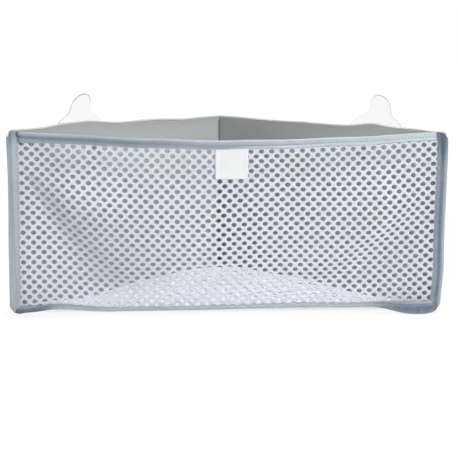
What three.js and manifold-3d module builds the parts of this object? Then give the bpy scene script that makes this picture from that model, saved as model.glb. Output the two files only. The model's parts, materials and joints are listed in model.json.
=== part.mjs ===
// Corner bath toy organizer: two stiffened back panels that fold at a corner seam,
// a net front and a net base, bound edges, and a suction cup through an eyelet on each back panel.
// Millimetres, +Z up. The front faces -Y and the corner seam is at the back.
import * as THREE from "three";
import { mergeVertices } from "three/addons/utils/BufferGeometryUtils.js";
import Module from "manifold-3d";

const wasm = await Module();
wasm.setup();

// Bag
const PANEL_LENGTH = 255; // a back panel, from the corner seam to the front seam
const BAG_HEIGHT = 155; // from the ground to the top of the hems
const CLOTH = 0.8; // woven cloth and binding tape
const BOARD = 1.2; // stiffening board
const NET = 1; // net
const GAP = 0.3; // clearance between pieces that touch

// Bound edges
const HEM_HEIGHT = 5;
const RIM_TAPE_HEIGHT = 7.6;
const SIDE_TAPE_WIDTH = 9.5;
const SIDE_TAPE_LAP = 3; // how far the tape reaches inward of the panel's front edge
const FRONT_BASE_TAPE_WIDTH = 8.5;
const FRONT_BASE_TAPE_LAP = 3;
const BACK_BASE_TAPE_WIDTH = 8;
const CORNER_TAPE_LEG = 12;
const CORNER_TAPE_BEND = 1.2; // radius of the tape's fold at the corner

// Drape of the front
const RIM_SAG = 4.4;
const RIM_BELLY = 10; // the rim bows outward at the middle
const BASE_RECESS = 8; // the foot of the front bows inward at the middle

// Nets
const FRONT_COLUMNS = 28; // half cells, an even number
const FRONT_ROWS = 12; // half cells, an even number
const BASE_ROWS = 14; // half cells, an even number
const FRONT_HOLE_WIDTH = 14;
const FRONT_HOLE_HEIGHT = 11;
const BASE_HOLE_WIDTH = 14;
const BASE_HOLE_DEPTH = 11;
const FRONT_NET_TUCK = 3.5; // into the side tapes, past the panel's front edge
const BASE_NET_TUCK = 1.5; // into the base tapes

// Label
const LABEL_WIDTH = 27.4;
const LABEL_HEIGHT = 24.6;
const LABEL_THICKNESS = 1.2;
const LABEL_CORNER = 1.5;
const LABEL_OFFSET = 1.5; // sewn to the right of the middle

// Suction cups and eyelets
const LEFT_EYELET_FROM_CORNER = 168; // along the panel
const RIGHT_EYELET_FROM_CORNER = 177;
const EYELET_DROP = 23; // below the top of the hem
const EYELET_BORE = 4.6; // radius
const EYELET_WALL = 0.9;
const EYELET_FLANGE = 9; // radius
const CUP_RADIUS = 37;
const CUP_HEIGHT = 11;
const CUP_HOLLOW = 7;
const CUP_LIP_WIDTH = 3;
const CUP_LIP_THICKNESS = 1.4;
const CUP_BOSS = 9; // radius
const CUP_HEAD = 7; // radius
const CUP_HEAD_THICKNESS = 3.2;
const TAB_WIDTH = 24;
const TAB_REACH = 50.6; // from the cup's axis
const TAB_ROOT = 4; // bite into the cup's rim
const TAB_SHANK = 2.6; // straight stretch, from the root to the rounded end
const TAB_THICKNESS = 1.2;
const TAB_LIFT = 0.5; // between the lip plane and the tab
const TAB_BEND = 5.5; // of the tab's end, away from the wall
const LEFT_TAB_LEAN = 1; // degrees towards the corner
const RIGHT_TAB_LEAN = -5;

// Fineness of the curves
const ROUND_STEPS = 3;
const SWEEP_STEPS = 20;
const CUP_STEPS = 30;
const EYELET_STEPS = 24;
const HOLLOW_STEPS = 5;

// Colours
const SHADES = {
  lining: [0xa0a5a2, 0.9, 0],
  board: [0xd9d9d4, 0.7, 0],
  cover: [0xa0a5a2, 0.9, 0],
  tape: [0xa0acb4, 0.85, 0],
  net: [0xebeef5, 0.8, 0],
  label: [0xf5f5f5, 0.5, 0],
  metal: [0xb8bcc0, 0.3, 1],
  clear: [0xe3e8ea, 0.1, 0],
};

// Sizes that follow from the above
const ROOT2 = Math.SQRT2;
const SLOT = NET + 2 * GAP;
const TAPE_THICKNESS = SLOT + 2 * CLOTH;
const BOARD_FACE = CLOTH + GAP;
const COVER_FACE = BOARD_FACE + BOARD + GAP;
const PANEL_THICKNESS = COVER_FACE + CLOTH;
const HALF_WIDTH = PANEL_LENGTH / ROOT2; // middle to the panel's front edge
const FRONT_LINE = -HALF_WIDTH - GAP - TAPE_THICKNESS / 2; // mid-plane of the front
const SIDE_MOUTH = HALF_WIDTH - SIDE_TAPE_LAP;
const SIDE_EDGE = SIDE_MOUTH + SIDE_TAPE_WIDTH;
const FLOOR_TOP = TAPE_THICKNESS + GAP; // foot of everything that stands on the base tapes
const HEM_REACH = GAP + CLOTH; // hem and back base tape, inward of the lining
const PANEL_TOP = BAG_HEIGHT - CLOTH - GAP;
const EYELET_HEIGHT = BAG_HEIGHT - EYELET_DROP;
const BARREL = EYELET_BORE + EYELET_WALL;
const BARREL_HOLE = BARREL + GAP;
const EYELET_BACK = PANEL_THICKNESS + GAP + EYELET_WALL;

function shade(kind) {
  const [color, roughness, metalness] = SHADES[kind];
  return new THREE.MeshStandardMaterial({ color, roughness, metalness });
}

function piece(name, kind, geometry) {
  const mesh = new THREE.Mesh(geometry, shade(kind));
  mesh.name = name;
  return mesh;
}

// Indexed geometry whose faces look outward.
function closedGeometry(points, triangles) {
  let volume = 0;
  const normal = new THREE.Vector3();
  for (let k = 0; k < triangles.length; k += 3) {
    normal.crossVectors(points[triangles[k + 1]], points[triangles[k + 2]]);
    volume += points[triangles[k]].dot(normal);
  }
  const faces = volume < 0 ? triangles.slice().reverse() : triangles;
  const geometry = new THREE.BufferGeometry().setFromPoints(points);
  geometry.setIndex(faces);
  geometry.computeVertexNormals();
  return geometry;
}

function solidOf(geometry) {
  const bare = geometry.clone();
  bare.deleteAttribute("normal");
  bare.deleteAttribute("uv");
  const merged = mergeVertices(bare, 1e-4);
  const vertProperties = new Float32Array(merged.attributes.position.array);
  const triVerts = new Uint32Array(merged.index.array);
  return new wasm.Manifold(new wasm.Mesh({ numProp: 3, vertProperties, triVerts }));
}

function geometryOf(solid) {
  const mesh = solid.getMesh();
  const geometry = new THREE.BufferGeometry();
  geometry.setAttribute("position", new THREE.BufferAttribute(mesh.vertProperties, 3));
  geometry.setIndex(new THREE.BufferAttribute(mesh.triVerts, 1));
  geometry.computeVertexNormals();
  return geometry;
}

// Joins one section, laid out by each of the places in turn, into a closed body.
function loft(section, places) {
  const points = places.map((place) => section.map(place)).flat();
  const triangles = [];
  const count = section.length;
  for (let ring = 0; ring + 1 < places.length; ring++) {
    for (let k = 0; k < count; k++) {
      const a = ring * count + k;
      const b = ring * count + ((k + 1) % count);
      triangles.push(a, b, a + count, b, b + count, a + count);
    }
  }
  const last = (places.length - 1) * count;
  for (const [a, b, c] of THREE.ShapeUtils.triangulateShape(section, [])) {
    triangles.push(c, b, a, last + a, last + b, last + c);
  }
  return closedGeometry(points, triangles);
}

// Folded tape in section: x across the fold, y from the folded edge at 0 to the mouth at -depth.
function channelSection(depth, slot) {
  const inner = slot / 2;
  const outer = inner + CLOTH;
  const section = [new THREE.Vector2(inner, -depth), new THREE.Vector2(outer, -depth)];
  for (const side of [1, -1]) {
    for (let k = 0; k <= ROUND_STEPS; k++) {
      const share = k / ROUND_STEPS;
      const angle = (side > 0 ? share : 1 - share) * (Math.PI / 2);
      const across = inner + CLOTH * Math.cos(angle);
      section.push(new THREE.Vector2(side * across, CLOTH * (Math.sin(angle) - 1)));
    }
  }
  section.push(new THREE.Vector2(-outer, -depth), new THREE.Vector2(-inner, -depth));
  section.push(new THREE.Vector2(-inner, -CLOTH), new THREE.Vector2(inner, -CLOTH));
  return section;
}

// Drape of the front: 1 at the middle, 0 at the side tapes.
function bow(x) {
  const share = Math.min(1, Math.abs(x) / SIDE_MOUTH);
  return (1 - share ** 2) ** 2;
}

function rimTop(x) {
  const share = Math.min(1, Math.abs(x) / SIDE_MOUTH);
  return BAG_HEIGHT - RIM_SAG * (1 - share ** 2);
}

// Outward of the front's mid-plane at a share of the height.
function belly(x, rise) {
  return bow(x) * (RIM_BELLY - (RIM_BELLY + BASE_RECESS) * (1 - rise) ** 3);
}

// Stations from -reach to reach.
function stations(reach) {
  return Array.from({ length: SWEEP_STEPS + 1 }, (_, k) => reach * ((2 * k) / SWEEP_STEPS - 1));
}

// A knotless net on a diamond lattice: corners at even column + row, holes at odd ones.
// isCorner tells which corners there are; place lays a lattice point on one face of the net.
function netGeometry(columns, rows, isCorner, hole, place) {
  const lattice = [];
  const faces = [];
  const corners = new Map();
  const pointAt = (u, v) => lattice.push([u, v]) - 1;
  const cornerAt = (u, v) => {
    if (!isCorner(u, v)) return null;
    const key = u + " " + v;
    if (!corners.has(key)) corners.set(key, pointAt(u, v));
    return corners.get(key);
  };
  for (let row = 0; row <= rows; row++) {
    for (let column = -columns; column <= columns; column++) {
      if ((column + row) % 2 === 0 || !isCorner(column, row)) continue;
      const around = [
        cornerAt(column + 1, row),
        cornerAt(column, row + 1),
        cornerAt(column - 1, row),
        cornerAt(column, row - 1),
      ];
      const present = around.filter((corner) => corner !== null);
      if (present.length === 3) faces.push(present);
      if (present.length < 4) continue;
      const [right, top, left, foot] = around;
      const [wide, tall] = hole;
      const ring = [
        pointAt(column + wide, row),
        pointAt(column + wide / 2, row + tall),
        pointAt(column - wide / 2, row + tall),
        pointAt(column - wide, row),
        pointAt(column - wide / 2, row - tall),
        pointAt(column + wide / 2, row - tall),
      ];
      faces.push([right, top, ring[1]], [right, ring[1], ring[0]], [top, ring[2], ring[1]]);
      faces.push([top, left, ring[3]], [top, ring[3], ring[2]]);
      faces.push([left, foot, ring[4]], [left, ring[4], ring[3]], [foot, ring[5], ring[4]]);
      faces.push([foot, right, ring[0]], [foot, ring[0], ring[5]]);
    }
  }
  const count = lattice.length;
  const points = [1, -1].flatMap((face) => lattice.map(([u, v]) => place(u, v, face)));
  const edges = new Set(faces.flatMap(([a, b, c]) => [a + " " + b, b + " " + c, c + " " + a]));
  const triangles = [];
  for (const [a, b, c] of faces) {
    triangles.push(a, b, c, c + count, b + count, a + count);
    for (const [from, to] of [[a, b], [b, c], [c, a]]) {
      if (edges.has(to + " " + from)) continue;
      triangles.push(to, from, from + count, to, from + count, to + count);
    }
  }
  return closedGeometry(points, triangles);
}

function frontNet() {
  const reach = HALF_WIDTH + FRONT_NET_TUCK;
  const cellWidth = (2 * reach) / FRONT_COLUMNS;
  const netTop = (x) => rimTop(x) - CLOTH - GAP;
  const cellHeight = (netTop(0) - FLOOR_TOP) / FRONT_ROWS;
  const half = FRONT_COLUMNS / 2;
  const isCorner = (u, v) => Math.abs(u) <= half && v >= 0 && v <= FRONT_ROWS;
  const hole = [FRONT_HOLE_WIDTH / 2 / cellWidth, FRONT_HOLE_HEIGHT / 2 / cellHeight];
  const place = (u, v, face) => {
    const x = u * cellWidth;
    const rise = v / FRONT_ROWS;
    const y = FRONT_LINE - belly(x, rise) - (face * NET) / 2;
    return new THREE.Vector3(x, y, FLOOR_TOP + rise * (netTop(x) - FLOOR_TOP));
  };
  return netGeometry(half, FRONT_ROWS, isCorner, hole, place);
}

function baseNet() {
  const frontEdge = FRONT_LINE - BASE_NET_TUCK;
  const reach = BASE_NET_TUCK * ROOT2 - frontEdge;
  const cell = reach / BASE_ROWS;
  const isCorner = (u, v) => v >= 0 && Math.abs(u) + v <= BASE_ROWS;
  const hole = [BASE_HOLE_WIDTH / 2 / cell, BASE_HOLE_DEPTH / 2 / cell];
  const place = (u, v, face) => {
    const x = u * cell;
    const depth = BASE_ROWS - Math.abs(u);
    const fade = depth > 0 ? 1 - v / depth : 0;
    const y = frontEdge + v * cell + fade * BASE_RECESS * bow(x);
    return new THREE.Vector3(x, y, TAPE_THICKNESS / 2 + (face * NET) / 2);
  };
  return netGeometry(BASE_ROWS, BASE_ROWS, isCorner, hole, place);
}

function rimBinding() {
  const places = stations(SIDE_MOUTH - GAP).map((x) => (point) => {
    const y = FRONT_LINE - belly(x, 1);
    return new THREE.Vector3(x, y + point.x, rimTop(x) + point.y);
  });
  return loft(channelSection(RIM_TAPE_HEIGHT, SLOT), places);
}

function frontBaseBinding() {
  const places = stations(SIDE_EDGE).map((x) => (point) => {
    const mouth = FRONT_LINE - belly(x, 0) + FRONT_BASE_TAPE_LAP;
    const edge = mouth - FRONT_BASE_TAPE_WIDTH;
    return new THREE.Vector3(x, edge - point.y, TAPE_THICKNESS / 2 + point.x);
  });
  return loft(channelSection(FRONT_BASE_TAPE_WIDTH, SLOT), places);
}

function labelPatch() {
  const reach = LABEL_WIDTH / 2 - LABEL_CORNER;
  const rise = LABEL_HEIGHT / 2 - LABEL_CORNER;
  const outline = new THREE.Shape();
  outline.absarc(reach, rise, LABEL_CORNER, 0, Math.PI / 2);
  outline.absarc(-reach, rise, LABEL_CORNER, Math.PI / 2, Math.PI);
  outline.absarc(-reach, -rise, LABEL_CORNER, Math.PI, Math.PI * 1.5);
  outline.absarc(reach, -rise, LABEL_CORNER, Math.PI * 1.5, Math.PI * 2);
  const flat = { depth: LABEL_THICKNESS, bevelEnabled: false, curveSegments: ROUND_STEPS };
  const geometry = new THREE.ExtrudeGeometry(outline, flat);
  geometry.rotateX(Math.PI / 2);
  const top = rimTop(0) - RIM_TAPE_HEIGHT - GAP;
  const back = FRONT_LINE - belly(0, 1) - NET / 2 - GAP;
  return geometry.translate(LABEL_OFFSET, back, top - LABEL_HEIGHT / 2);
}

// Tape folded round the back of the corner seam, over both covers.
function cornerTape() {
  const inner = PANEL_THICKNESS + GAP;
  const outer = inner + CLOTH;
  const along = (x, y) => new THREE.Vector2((x + y) / ROOT2, (y - x) / ROOT2);
  const arc = [];
  for (let k = 0; k <= ROUND_STEPS; k++) {
    const angle = Math.PI * (0.25 + (0.5 * k) / ROUND_STEPS);
    const centre = (outer - CORNER_TAPE_BEND) * ROOT2;
    const spread = CORNER_TAPE_BEND * Math.cos(angle);
    arc.push(new THREE.Vector2(spread, centre + CORNER_TAPE_BEND * Math.sin(angle)));
  }
  const rightOuter = along(CORNER_TAPE_LEG, outer);
  const rightInner = along(CORNER_TAPE_LEG, inner);
  const leftOuter = new THREE.Vector2(-rightOuter.x, rightOuter.y);
  const leftInner = new THREE.Vector2(-rightInner.x, rightInner.y);
  const seam = new THREE.Vector2(0, inner * ROOT2);
  const outline = new THREE.Shape([seam, rightInner, rightOuter, ...arc, leftOuter, leftInner]);
  const depth = BAG_HEIGHT - HEM_HEIGHT - GAP - FLOOR_TOP;
  const geometry = new THREE.ExtrudeGeometry(outline, { depth, bevelEnabled: false });
  return geometry.translate(0, 0, FLOOR_TOP);
}

// The right back panel's own frame: x along the panel from the corner, y out towards the wall.
// Mitred ends: the corner end faces the other panel, the front end faces the side tape.
const cornerEnd = (y) => GAP * ROOT2 - y;
const frontEnd = (y) => PANEL_LENGTH + y;

function panelLayer(face, thickness, hub) {
  const outline = new THREE.Shape([
    new THREE.Vector2(cornerEnd(face), face),
    new THREE.Vector2(frontEnd(face), face),
    new THREE.Vector2(frontEnd(face + thickness), face + thickness),
    new THREE.Vector2(cornerEnd(face + thickness), face + thickness),
  ]);
  const depth = PANEL_TOP - FLOOR_TOP;
  const sheet = new THREE.ExtrudeGeometry(outline, { depth, bevelEnabled: false });
  sheet.translate(0, 0, FLOOR_TOP);
  const through = 2 * PANEL_THICKNESS;
  const hole = new THREE.CylinderGeometry(BARREL_HOLE, BARREL_HOLE, through, EYELET_STEPS);
  hole.translate(hub, PANEL_THICKNESS / 2, EYELET_HEIGHT);
  return geometryOf(solidOf(sheet).subtract(solidOf(hole)));
}

function topHem() {
  const section = channelSection(HEM_HEIGHT, PANEL_THICKNESS + 2 * GAP);
  const places = [cornerEnd, frontEnd].map((end) => (point) => {
    const y = PANEL_THICKNESS / 2 + point.x;
    return new THREE.Vector3(end(y), y, BAG_HEIGHT + point.y);
  });
  return loft(section, places);
}

function backBaseBinding() {
  const edge = BACK_BASE_TAPE_WIDTH - HEM_REACH;
  const stop = FRONT_LINE + FRONT_BASE_TAPE_LAP + GAP;
  const frontStop = (y) => y - stop * ROOT2;
  const places = [cornerEnd, frontStop].map((end) => (point) => {
    const y = edge + point.y;
    return new THREE.Vector3(end(y), y, TAPE_THICKNESS / 2 + point.x);
  });
  return loft(channelSection(BACK_BASE_TAPE_WIDTH, SLOT), places);
}

function sideBinding() {
  const places = [FLOOR_TOP, BAG_HEIGHT].map((z) => (point) => {
    return new THREE.Vector3(SIDE_EDGE + point.y, FRONT_LINE + point.x, z);
  });
  return loft(channelSection(SIDE_TAPE_WIDTH, SLOT), places);
}

function turned(profile, steps) {
  const geometry = new THREE.LatheGeometry(profile, steps);
  geometry.deleteAttribute("normal");
  geometry.deleteAttribute("uv");
  const merged = mergeVertices(geometry, 1e-4);
  const points = [];
  for (let k = 0; k < merged.attributes.position.count; k++) {
    points.push(new THREE.Vector3().fromBufferAttribute(merged.attributes.position, k));
  }
  const triangles = [];
  const index = merged.index.array;
  for (let k = 0; k < index.length; k += 3) {
    const [a, b, c] = index.slice(k, k + 3);
    if (a !== b && b !== c && c !== a) triangles.push(a, b, c);
  }
  return closedGeometry(points, triangles);
}

function ring(profile, hub) {
  const closed = [...profile, profile[0]].map(([radius, y]) => new THREE.Vector2(radius, y));
  return turned(closed, EYELET_STEPS).translate(hub, 0, EYELET_HEIGHT);
}

function eyelet(hub) {
  const profile = [
    [EYELET_BORE, -GAP - EYELET_WALL],
    [EYELET_FLANGE, -GAP - EYELET_WALL],
    [EYELET_FLANGE, -GAP],
    [BARREL, -GAP],
    [BARREL, EYELET_BACK],
    [EYELET_BORE, EYELET_BACK],
  ];
  return ring(profile, hub);
}

function eyeletWasher(hub) {
  const profile = [
    [BARREL_HOLE, PANEL_THICKNESS + GAP],
    [EYELET_FLANGE, PANEL_THICKNESS + GAP],
    [EYELET_FLANGE, EYELET_BACK],
    [BARREL_HOLE, EYELET_BACK],
  ];
  return ring(profile, hub);
}

// Bends the end of a tab away from the wall, from its root on.
function bent(tab, root) {
  const place = tab.attributes.position;
  for (let k = 0; k < place.count; k++) {
    const share = (place.getZ(k) - root) / (TAB_REACH - root);
    place.setY(k, place.getY(k) - TAB_BEND * share ** 2);
  }
  return tab;
}

function suctionCup(hub, lean) {
  const neck = EYELET_BORE - GAP;
  const headFace = -GAP - EYELET_WALL - GAP;
  const bossFace = EYELET_BACK + GAP;
  const lip = bossFace + CUP_HEIGHT;
  const hollowRadius = CUP_RADIUS - CUP_LIP_WIDTH;
  const crown = CUP_HEIGHT - CUP_HOLLOW; // material between the boss face and the hollow
  const hollowAt = (radius) => lip - CUP_HOLLOW * (1 - (radius / hollowRadius) ** 2);
  const backAt = (radius) => {
    const share = (radius - CUP_BOSS) / (CUP_RADIUS - CUP_BOSS);
    const thickness = CUP_LIP_THICKNESS + (crown / 2 - CUP_LIP_THICKNESS) * (1 - share);
    return hollowAt(Math.min(radius, hollowRadius)) - thickness;
  };
  const profile = [
    [0, headFace - CUP_HEAD_THICKNESS],
    [CUP_HEAD * 0.6, headFace - CUP_HEAD_THICKNESS],
    [CUP_HEAD, headFace - CUP_HEAD_THICKNESS / 2],
    [CUP_HEAD, headFace],
    [neck, headFace],
    [neck, bossFace],
    [CUP_BOSS, bossFace],
  ];
  for (let k = 0; k <= HOLLOW_STEPS; k++) {
    const radius = CUP_BOSS + ((hollowRadius - CUP_BOSS) * k) / HOLLOW_STEPS;
    profile.push([radius, backAt(radius)]);
  }
  profile.push([CUP_RADIUS, lip - CUP_LIP_THICKNESS], [CUP_RADIUS, lip]);
  for (let k = HOLLOW_STEPS; k >= 0; k--) {
    const radius = (hollowRadius * k) / HOLLOW_STEPS;
    profile.push([radius, hollowAt(radius)]);
  }
  const disc = turned(profile.map(([radius, y]) => new THREE.Vector2(radius, y)), CUP_STEPS);
  const outline = new THREE.Shape();
  const half = TAB_WIDTH / 2;
  const root = CUP_RADIUS - TAB_ROOT;
  const shoulder = root + TAB_SHANK;
  outline.moveTo(-half, root);
  outline.lineTo(half, root);
  outline.lineTo(half, shoulder);
  outline.absellipse(0, shoulder, half, TAB_REACH - shoulder, 0, Math.PI);
  const flat = { depth: TAB_THICKNESS, bevelEnabled: false, curveSegments: 3 * ROUND_STEPS };
  const tab = new THREE.ExtrudeGeometry(outline, flat);
  tab.rotateX(Math.PI / 2);
  tab.translate(0, lip - TAB_LIFT, 0);
  const cup = geometryOf(solidOf(disc).add(solidOf(bent(tab, root))));
  cup.rotateY(-THREE.MathUtils.degToRad(lean));
  return cup.translate(hub, 0, EYELET_HEIGHT);
}

// One half of the bag as it stands on the right; the left half is mirrored.
function halfBag(side, hub, lean) {
  const half = new THREE.Group();
  half.add(piece(side + "_side_binding", "tape", sideBinding()));
  const panel = new THREE.Group();
  panel.rotation.z = -Math.PI / 4;
  panel.add(
    piece(side + "_lining", "lining", panelLayer(0, CLOTH, hub)),
    piece(side + "_stiffener", "board", panelLayer(BOARD_FACE, BOARD, hub)),
    piece(side + "_wall_cover", "cover", panelLayer(COVER_FACE, CLOTH, hub)),
    piece(side + "_top_hem", "cover", topHem()),
    piece(side + "_base_binding", "tape", backBaseBinding()),
    piece(side + "_eyelet", "metal", eyelet(hub)),
    piece(side + "_eyelet_washer", "metal", eyeletWasher(hub)),
    piece(side + "_suction_cup", "clear", suctionCup(hub, lean)),
  );
  half.add(panel);
  return half;
}

const rightHalf = halfBag("right", RIGHT_EYELET_FROM_CORNER, RIGHT_TAB_LEAN);
const leftHalf = halfBag("left", LEFT_EYELET_FROM_CORNER, LEFT_TAB_LEAN);
leftHalf.scale.x = -1;

const bag = new THREE.Group();
bag.add(
  leftHalf,
  rightHalf,
  piece("front_mesh", "net", frontNet()),
  piece("base_mesh", "net", baseNet()),
  piece("front_rim_binding", "tape", rimBinding()),
  piece("front_base_binding", "tape", frontBaseBinding()),
  piece("label_patch", "label", labelPatch()),
  piece("corner_binding", "tape", cornerTape()),
);

// The frame's origin is under the middle of the whole.
bag.updateMatrixWorld(true);
const box = new THREE.Box3().setFromObject(bag, true);
const middle = box.getCenter(new THREE.Vector3());
bag.position.set(-middle.x, -middle.y, -box.min.z);

const organizer = new THREE.Group();
organizer.name = "bath_toy_organizer";
organizer.add(bag);
export default organizer;
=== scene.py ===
"""Corner bath toy organizer: net front and base, bound edges, stiffened panels and suction cups."""

import json
import math

import bmesh
import bpy
import numpy as np
from bpy.props import FloatProperty, FloatVectorProperty, IntProperty, PointerProperty
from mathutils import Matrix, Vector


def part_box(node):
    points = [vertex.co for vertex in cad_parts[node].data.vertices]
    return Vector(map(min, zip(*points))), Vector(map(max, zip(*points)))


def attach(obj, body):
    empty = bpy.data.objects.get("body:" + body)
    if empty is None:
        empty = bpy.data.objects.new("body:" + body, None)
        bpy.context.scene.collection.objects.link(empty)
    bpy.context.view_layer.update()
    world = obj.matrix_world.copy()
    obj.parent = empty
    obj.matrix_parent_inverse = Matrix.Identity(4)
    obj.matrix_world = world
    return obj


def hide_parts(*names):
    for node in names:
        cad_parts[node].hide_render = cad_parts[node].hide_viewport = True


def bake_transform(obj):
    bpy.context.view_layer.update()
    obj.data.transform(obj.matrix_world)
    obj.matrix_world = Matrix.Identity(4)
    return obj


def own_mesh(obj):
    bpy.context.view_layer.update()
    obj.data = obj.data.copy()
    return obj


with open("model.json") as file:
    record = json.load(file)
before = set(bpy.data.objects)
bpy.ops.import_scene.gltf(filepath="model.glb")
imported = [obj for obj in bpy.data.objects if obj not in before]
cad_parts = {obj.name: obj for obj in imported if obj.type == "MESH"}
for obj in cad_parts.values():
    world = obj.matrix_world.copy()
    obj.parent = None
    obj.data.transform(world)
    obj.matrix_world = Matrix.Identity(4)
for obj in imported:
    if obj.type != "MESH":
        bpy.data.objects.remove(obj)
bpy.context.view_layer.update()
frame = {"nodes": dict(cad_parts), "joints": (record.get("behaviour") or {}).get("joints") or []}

bl_info = {
    "name": "Bath toy organizer",
    "version": (1, 0, 0),
    "blender": (4, 5, 0),
    "location": "View3D > Sidebar > Organizer",
    "description": "Dresses the corner bath toy organizer in net, tape, cloth and clear vinyl",
    "category": "Object",
}

SIDES = {"left": -1.0, "right": 1.0}
ROOT2 = math.sqrt(2.0)
TURN = 2.0 * math.pi
WHITE = (1.0, 1.0, 1.0, 1.0)

# Places that the frame gives
TAPE_LOW, TAPE_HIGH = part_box("right_side_binding")
LINING_LOW, LINING_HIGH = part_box("right_lining")
LABEL_LOW, LABEL_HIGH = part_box("label_patch")
FOOT_LOW, FOOT_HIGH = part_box("front_base_binding")
CUP_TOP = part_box("left_suction_cup")[1].z
HUBS = {joint["name"]: joint["pos_m"] for joint in frame["joints"] if joint["name"].endswith("_cup_swivel")}
HUB_HEIGHT = HUBS["right_cup_swivel"][2]

# How finely each piece is laid out
FRONT_STEPS, BASE_STEPS = (220, 120), (261, 131)
RIM_STEPS, FOOT_STEPS, LIP_STEPS = 181, 201, 41
SIDE_STEPS, BASE_TAPE_STEPS, CORNER_STEPS, HEM_STEPS = 61, 91, 41, 121
PANEL_STEPS, HOLE_STEPS = (64, 40), 15
EYELET_STEPS, CUP_STEPS = 64, 180

CLOTH = 0.0008  # thickness of a panel's cloth and of the corner tape
CORNER_GAP = 0.0003  # left free at the corner between the panels, and under the corner tape
HALF_WIDTH = LINING_HIGH.x - CLOTH * ROOT2
CORNER_Y = LINING_LOW.y + HALF_WIDTH


def shade(red, green, blue):
    """A colour in scene values from its red, green and blue on a screen, by the usual screen curve."""
    parts = [part / 255.0 for part in (red, green, blue)]
    return tuple(p / 12.92 if p <= 0.04045 else ((p + 0.055) / 1.055) ** 2.4 for p in parts)


def length(name, description, default):
    return FloatProperty(
        name=name, description=description, default=default, unit="LENGTH", subtype="DISTANCE", precision=5
    )


def angle(name, description, default):
    return FloatProperty(name=name, description=description, default=default, subtype="ANGLE")


def colour(name, description, default):
    return FloatVectorProperty(
        name=name, description=description, default=default, size=3, subtype="COLOR", min=0.0, max=1.0
    )


class BagSizes(bpy.types.PropertyGroup):
    """Sizes of the bag, its folds and its edges."""

    side_mouth: length("Side mouth", "Middle of the bag to the inner edge of a side tape", TAPE_LOW.x)
    side_edge: length("Side edge", "Middle of the bag to the outer edge of a side tape", TAPE_HIGH.x)
    front_line: length("Front line", "Plane of the front's side seams", (TAPE_LOW.y + TAPE_HIGH.y) / 2)
    foot: length("Foot", "Height of the panels' foot", TAPE_LOW.z)
    top: length("Top", "Height of the bag", TAPE_HIGH.z)
    panel: length("Panel", "Length of a back panel", HALF_WIDTH * ROOT2)
    panel_thickness: length("Panel thickness", "Lining, board and cover together", 0.0034)
    rim_sag: length("Rim sag", "How far the rim sinks at the middle", 0.0044)
    rim_belly: length("Rim belly", "How far the rim bows forward", 0.010)
    belly: length("Belly", "How far the slack front bows forward", 0.016)
    recess: length("Recess", "How far the foot of the front is drawn in", 0.008)
    fold_width: length("Fold width", "Half the width of the front's slanting folds", 0.0110)
    left_fold_foot: length("Left fold foot", "Where the left fold meets the foot", 0.064)
    left_fold_rise: length("Left fold rise", "Where the left fold meets the side", 0.122)
    right_fold_foot: length("Right fold foot", "Where the right fold meets the foot", 0.038)
    right_fold_rise: length("Right fold rise", "Where the right fold meets the side", 0.1025)
    rim_height: length("Rim height", "Height of the rim tape", 0.0075)
    tape: length("Tape", "Thickness of a folded tape", 0.0032)
    left_corner_rise: length("Left corner rise", "Rise of the top at the left front corner", 0.0022)
    right_corner_rise: length("Right corner rise", "Rise of the top at the right front corner", 0.0010)
    foot_tape: length("Foot tape", "Thickness of the foot tape", 0.0026)
    foot_width: length("Foot width", "Width of the foot tape", FOOT_HIGH.y - FOOT_LOW.y - 0.008)
    foot_lift: length("Foot lift", "Height of the foot tape over the ground at the middle", 0.0030)
    foot_tilt: FloatProperty(name="Foot tilt", description="Slope of the foot tape", default=0.015)
    left_corner_lift: length("Left corner lift", "Further lift of the foot tape at its left", 0.0050)
    right_corner_lift: length("Right corner lift", "Further lift of the foot tape at its right", 0.0018)
    base_tape: length("Base tape", "Width of a base tape", 0.008)
    base_mound: length("Base mound", "How far the base net swells along the panels", 0.0105)
    hem: length("Hem", "Height of a panel's turned edge", 0.005)
    hem_stand: length("Hem stand", "How much thicker a panel is at its turned edge", 0.0003)
    puff: length("Puff", "How far the panel cloth stands off its board", 0.0008)
    left_hem_rise: length("Left hem rise", "Rise of the left edge over its cup", 0.0036)
    right_hem_rise: length("Right hem rise", "Rise of the right edge over its cup", 0.0036)


class NetSizes(bpy.types.PropertyGroup):
    """Sizes of the knitted net."""

    columns: IntProperty(name="Columns", description="Columns of holes in the front", default=42)
    rows: IntProperty(name="Rows", description="Rows of holes in the front", default=18)
    base_rows: IntProperty(name="Base rows", description="Rows of holes in the base", default=21)
    hole_across: length("Hole across", "Width of a hole", 0.0043)
    hole_up: length("Hole up", "Height of a hole", 0.0034)
    strand: length("Strand", "Half the thickness of a strand", 0.00048)


class StitchSizes(bpy.types.PropertyGroup):
    """Sizes of the sewing."""

    step: length("Step", "From one stitch to the next", 0.0030)
    reach: length("Reach", "Half the length of a stitch", 0.00105)
    thread: length("Thread", "Half the thickness of the thread", 0.00026)


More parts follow.
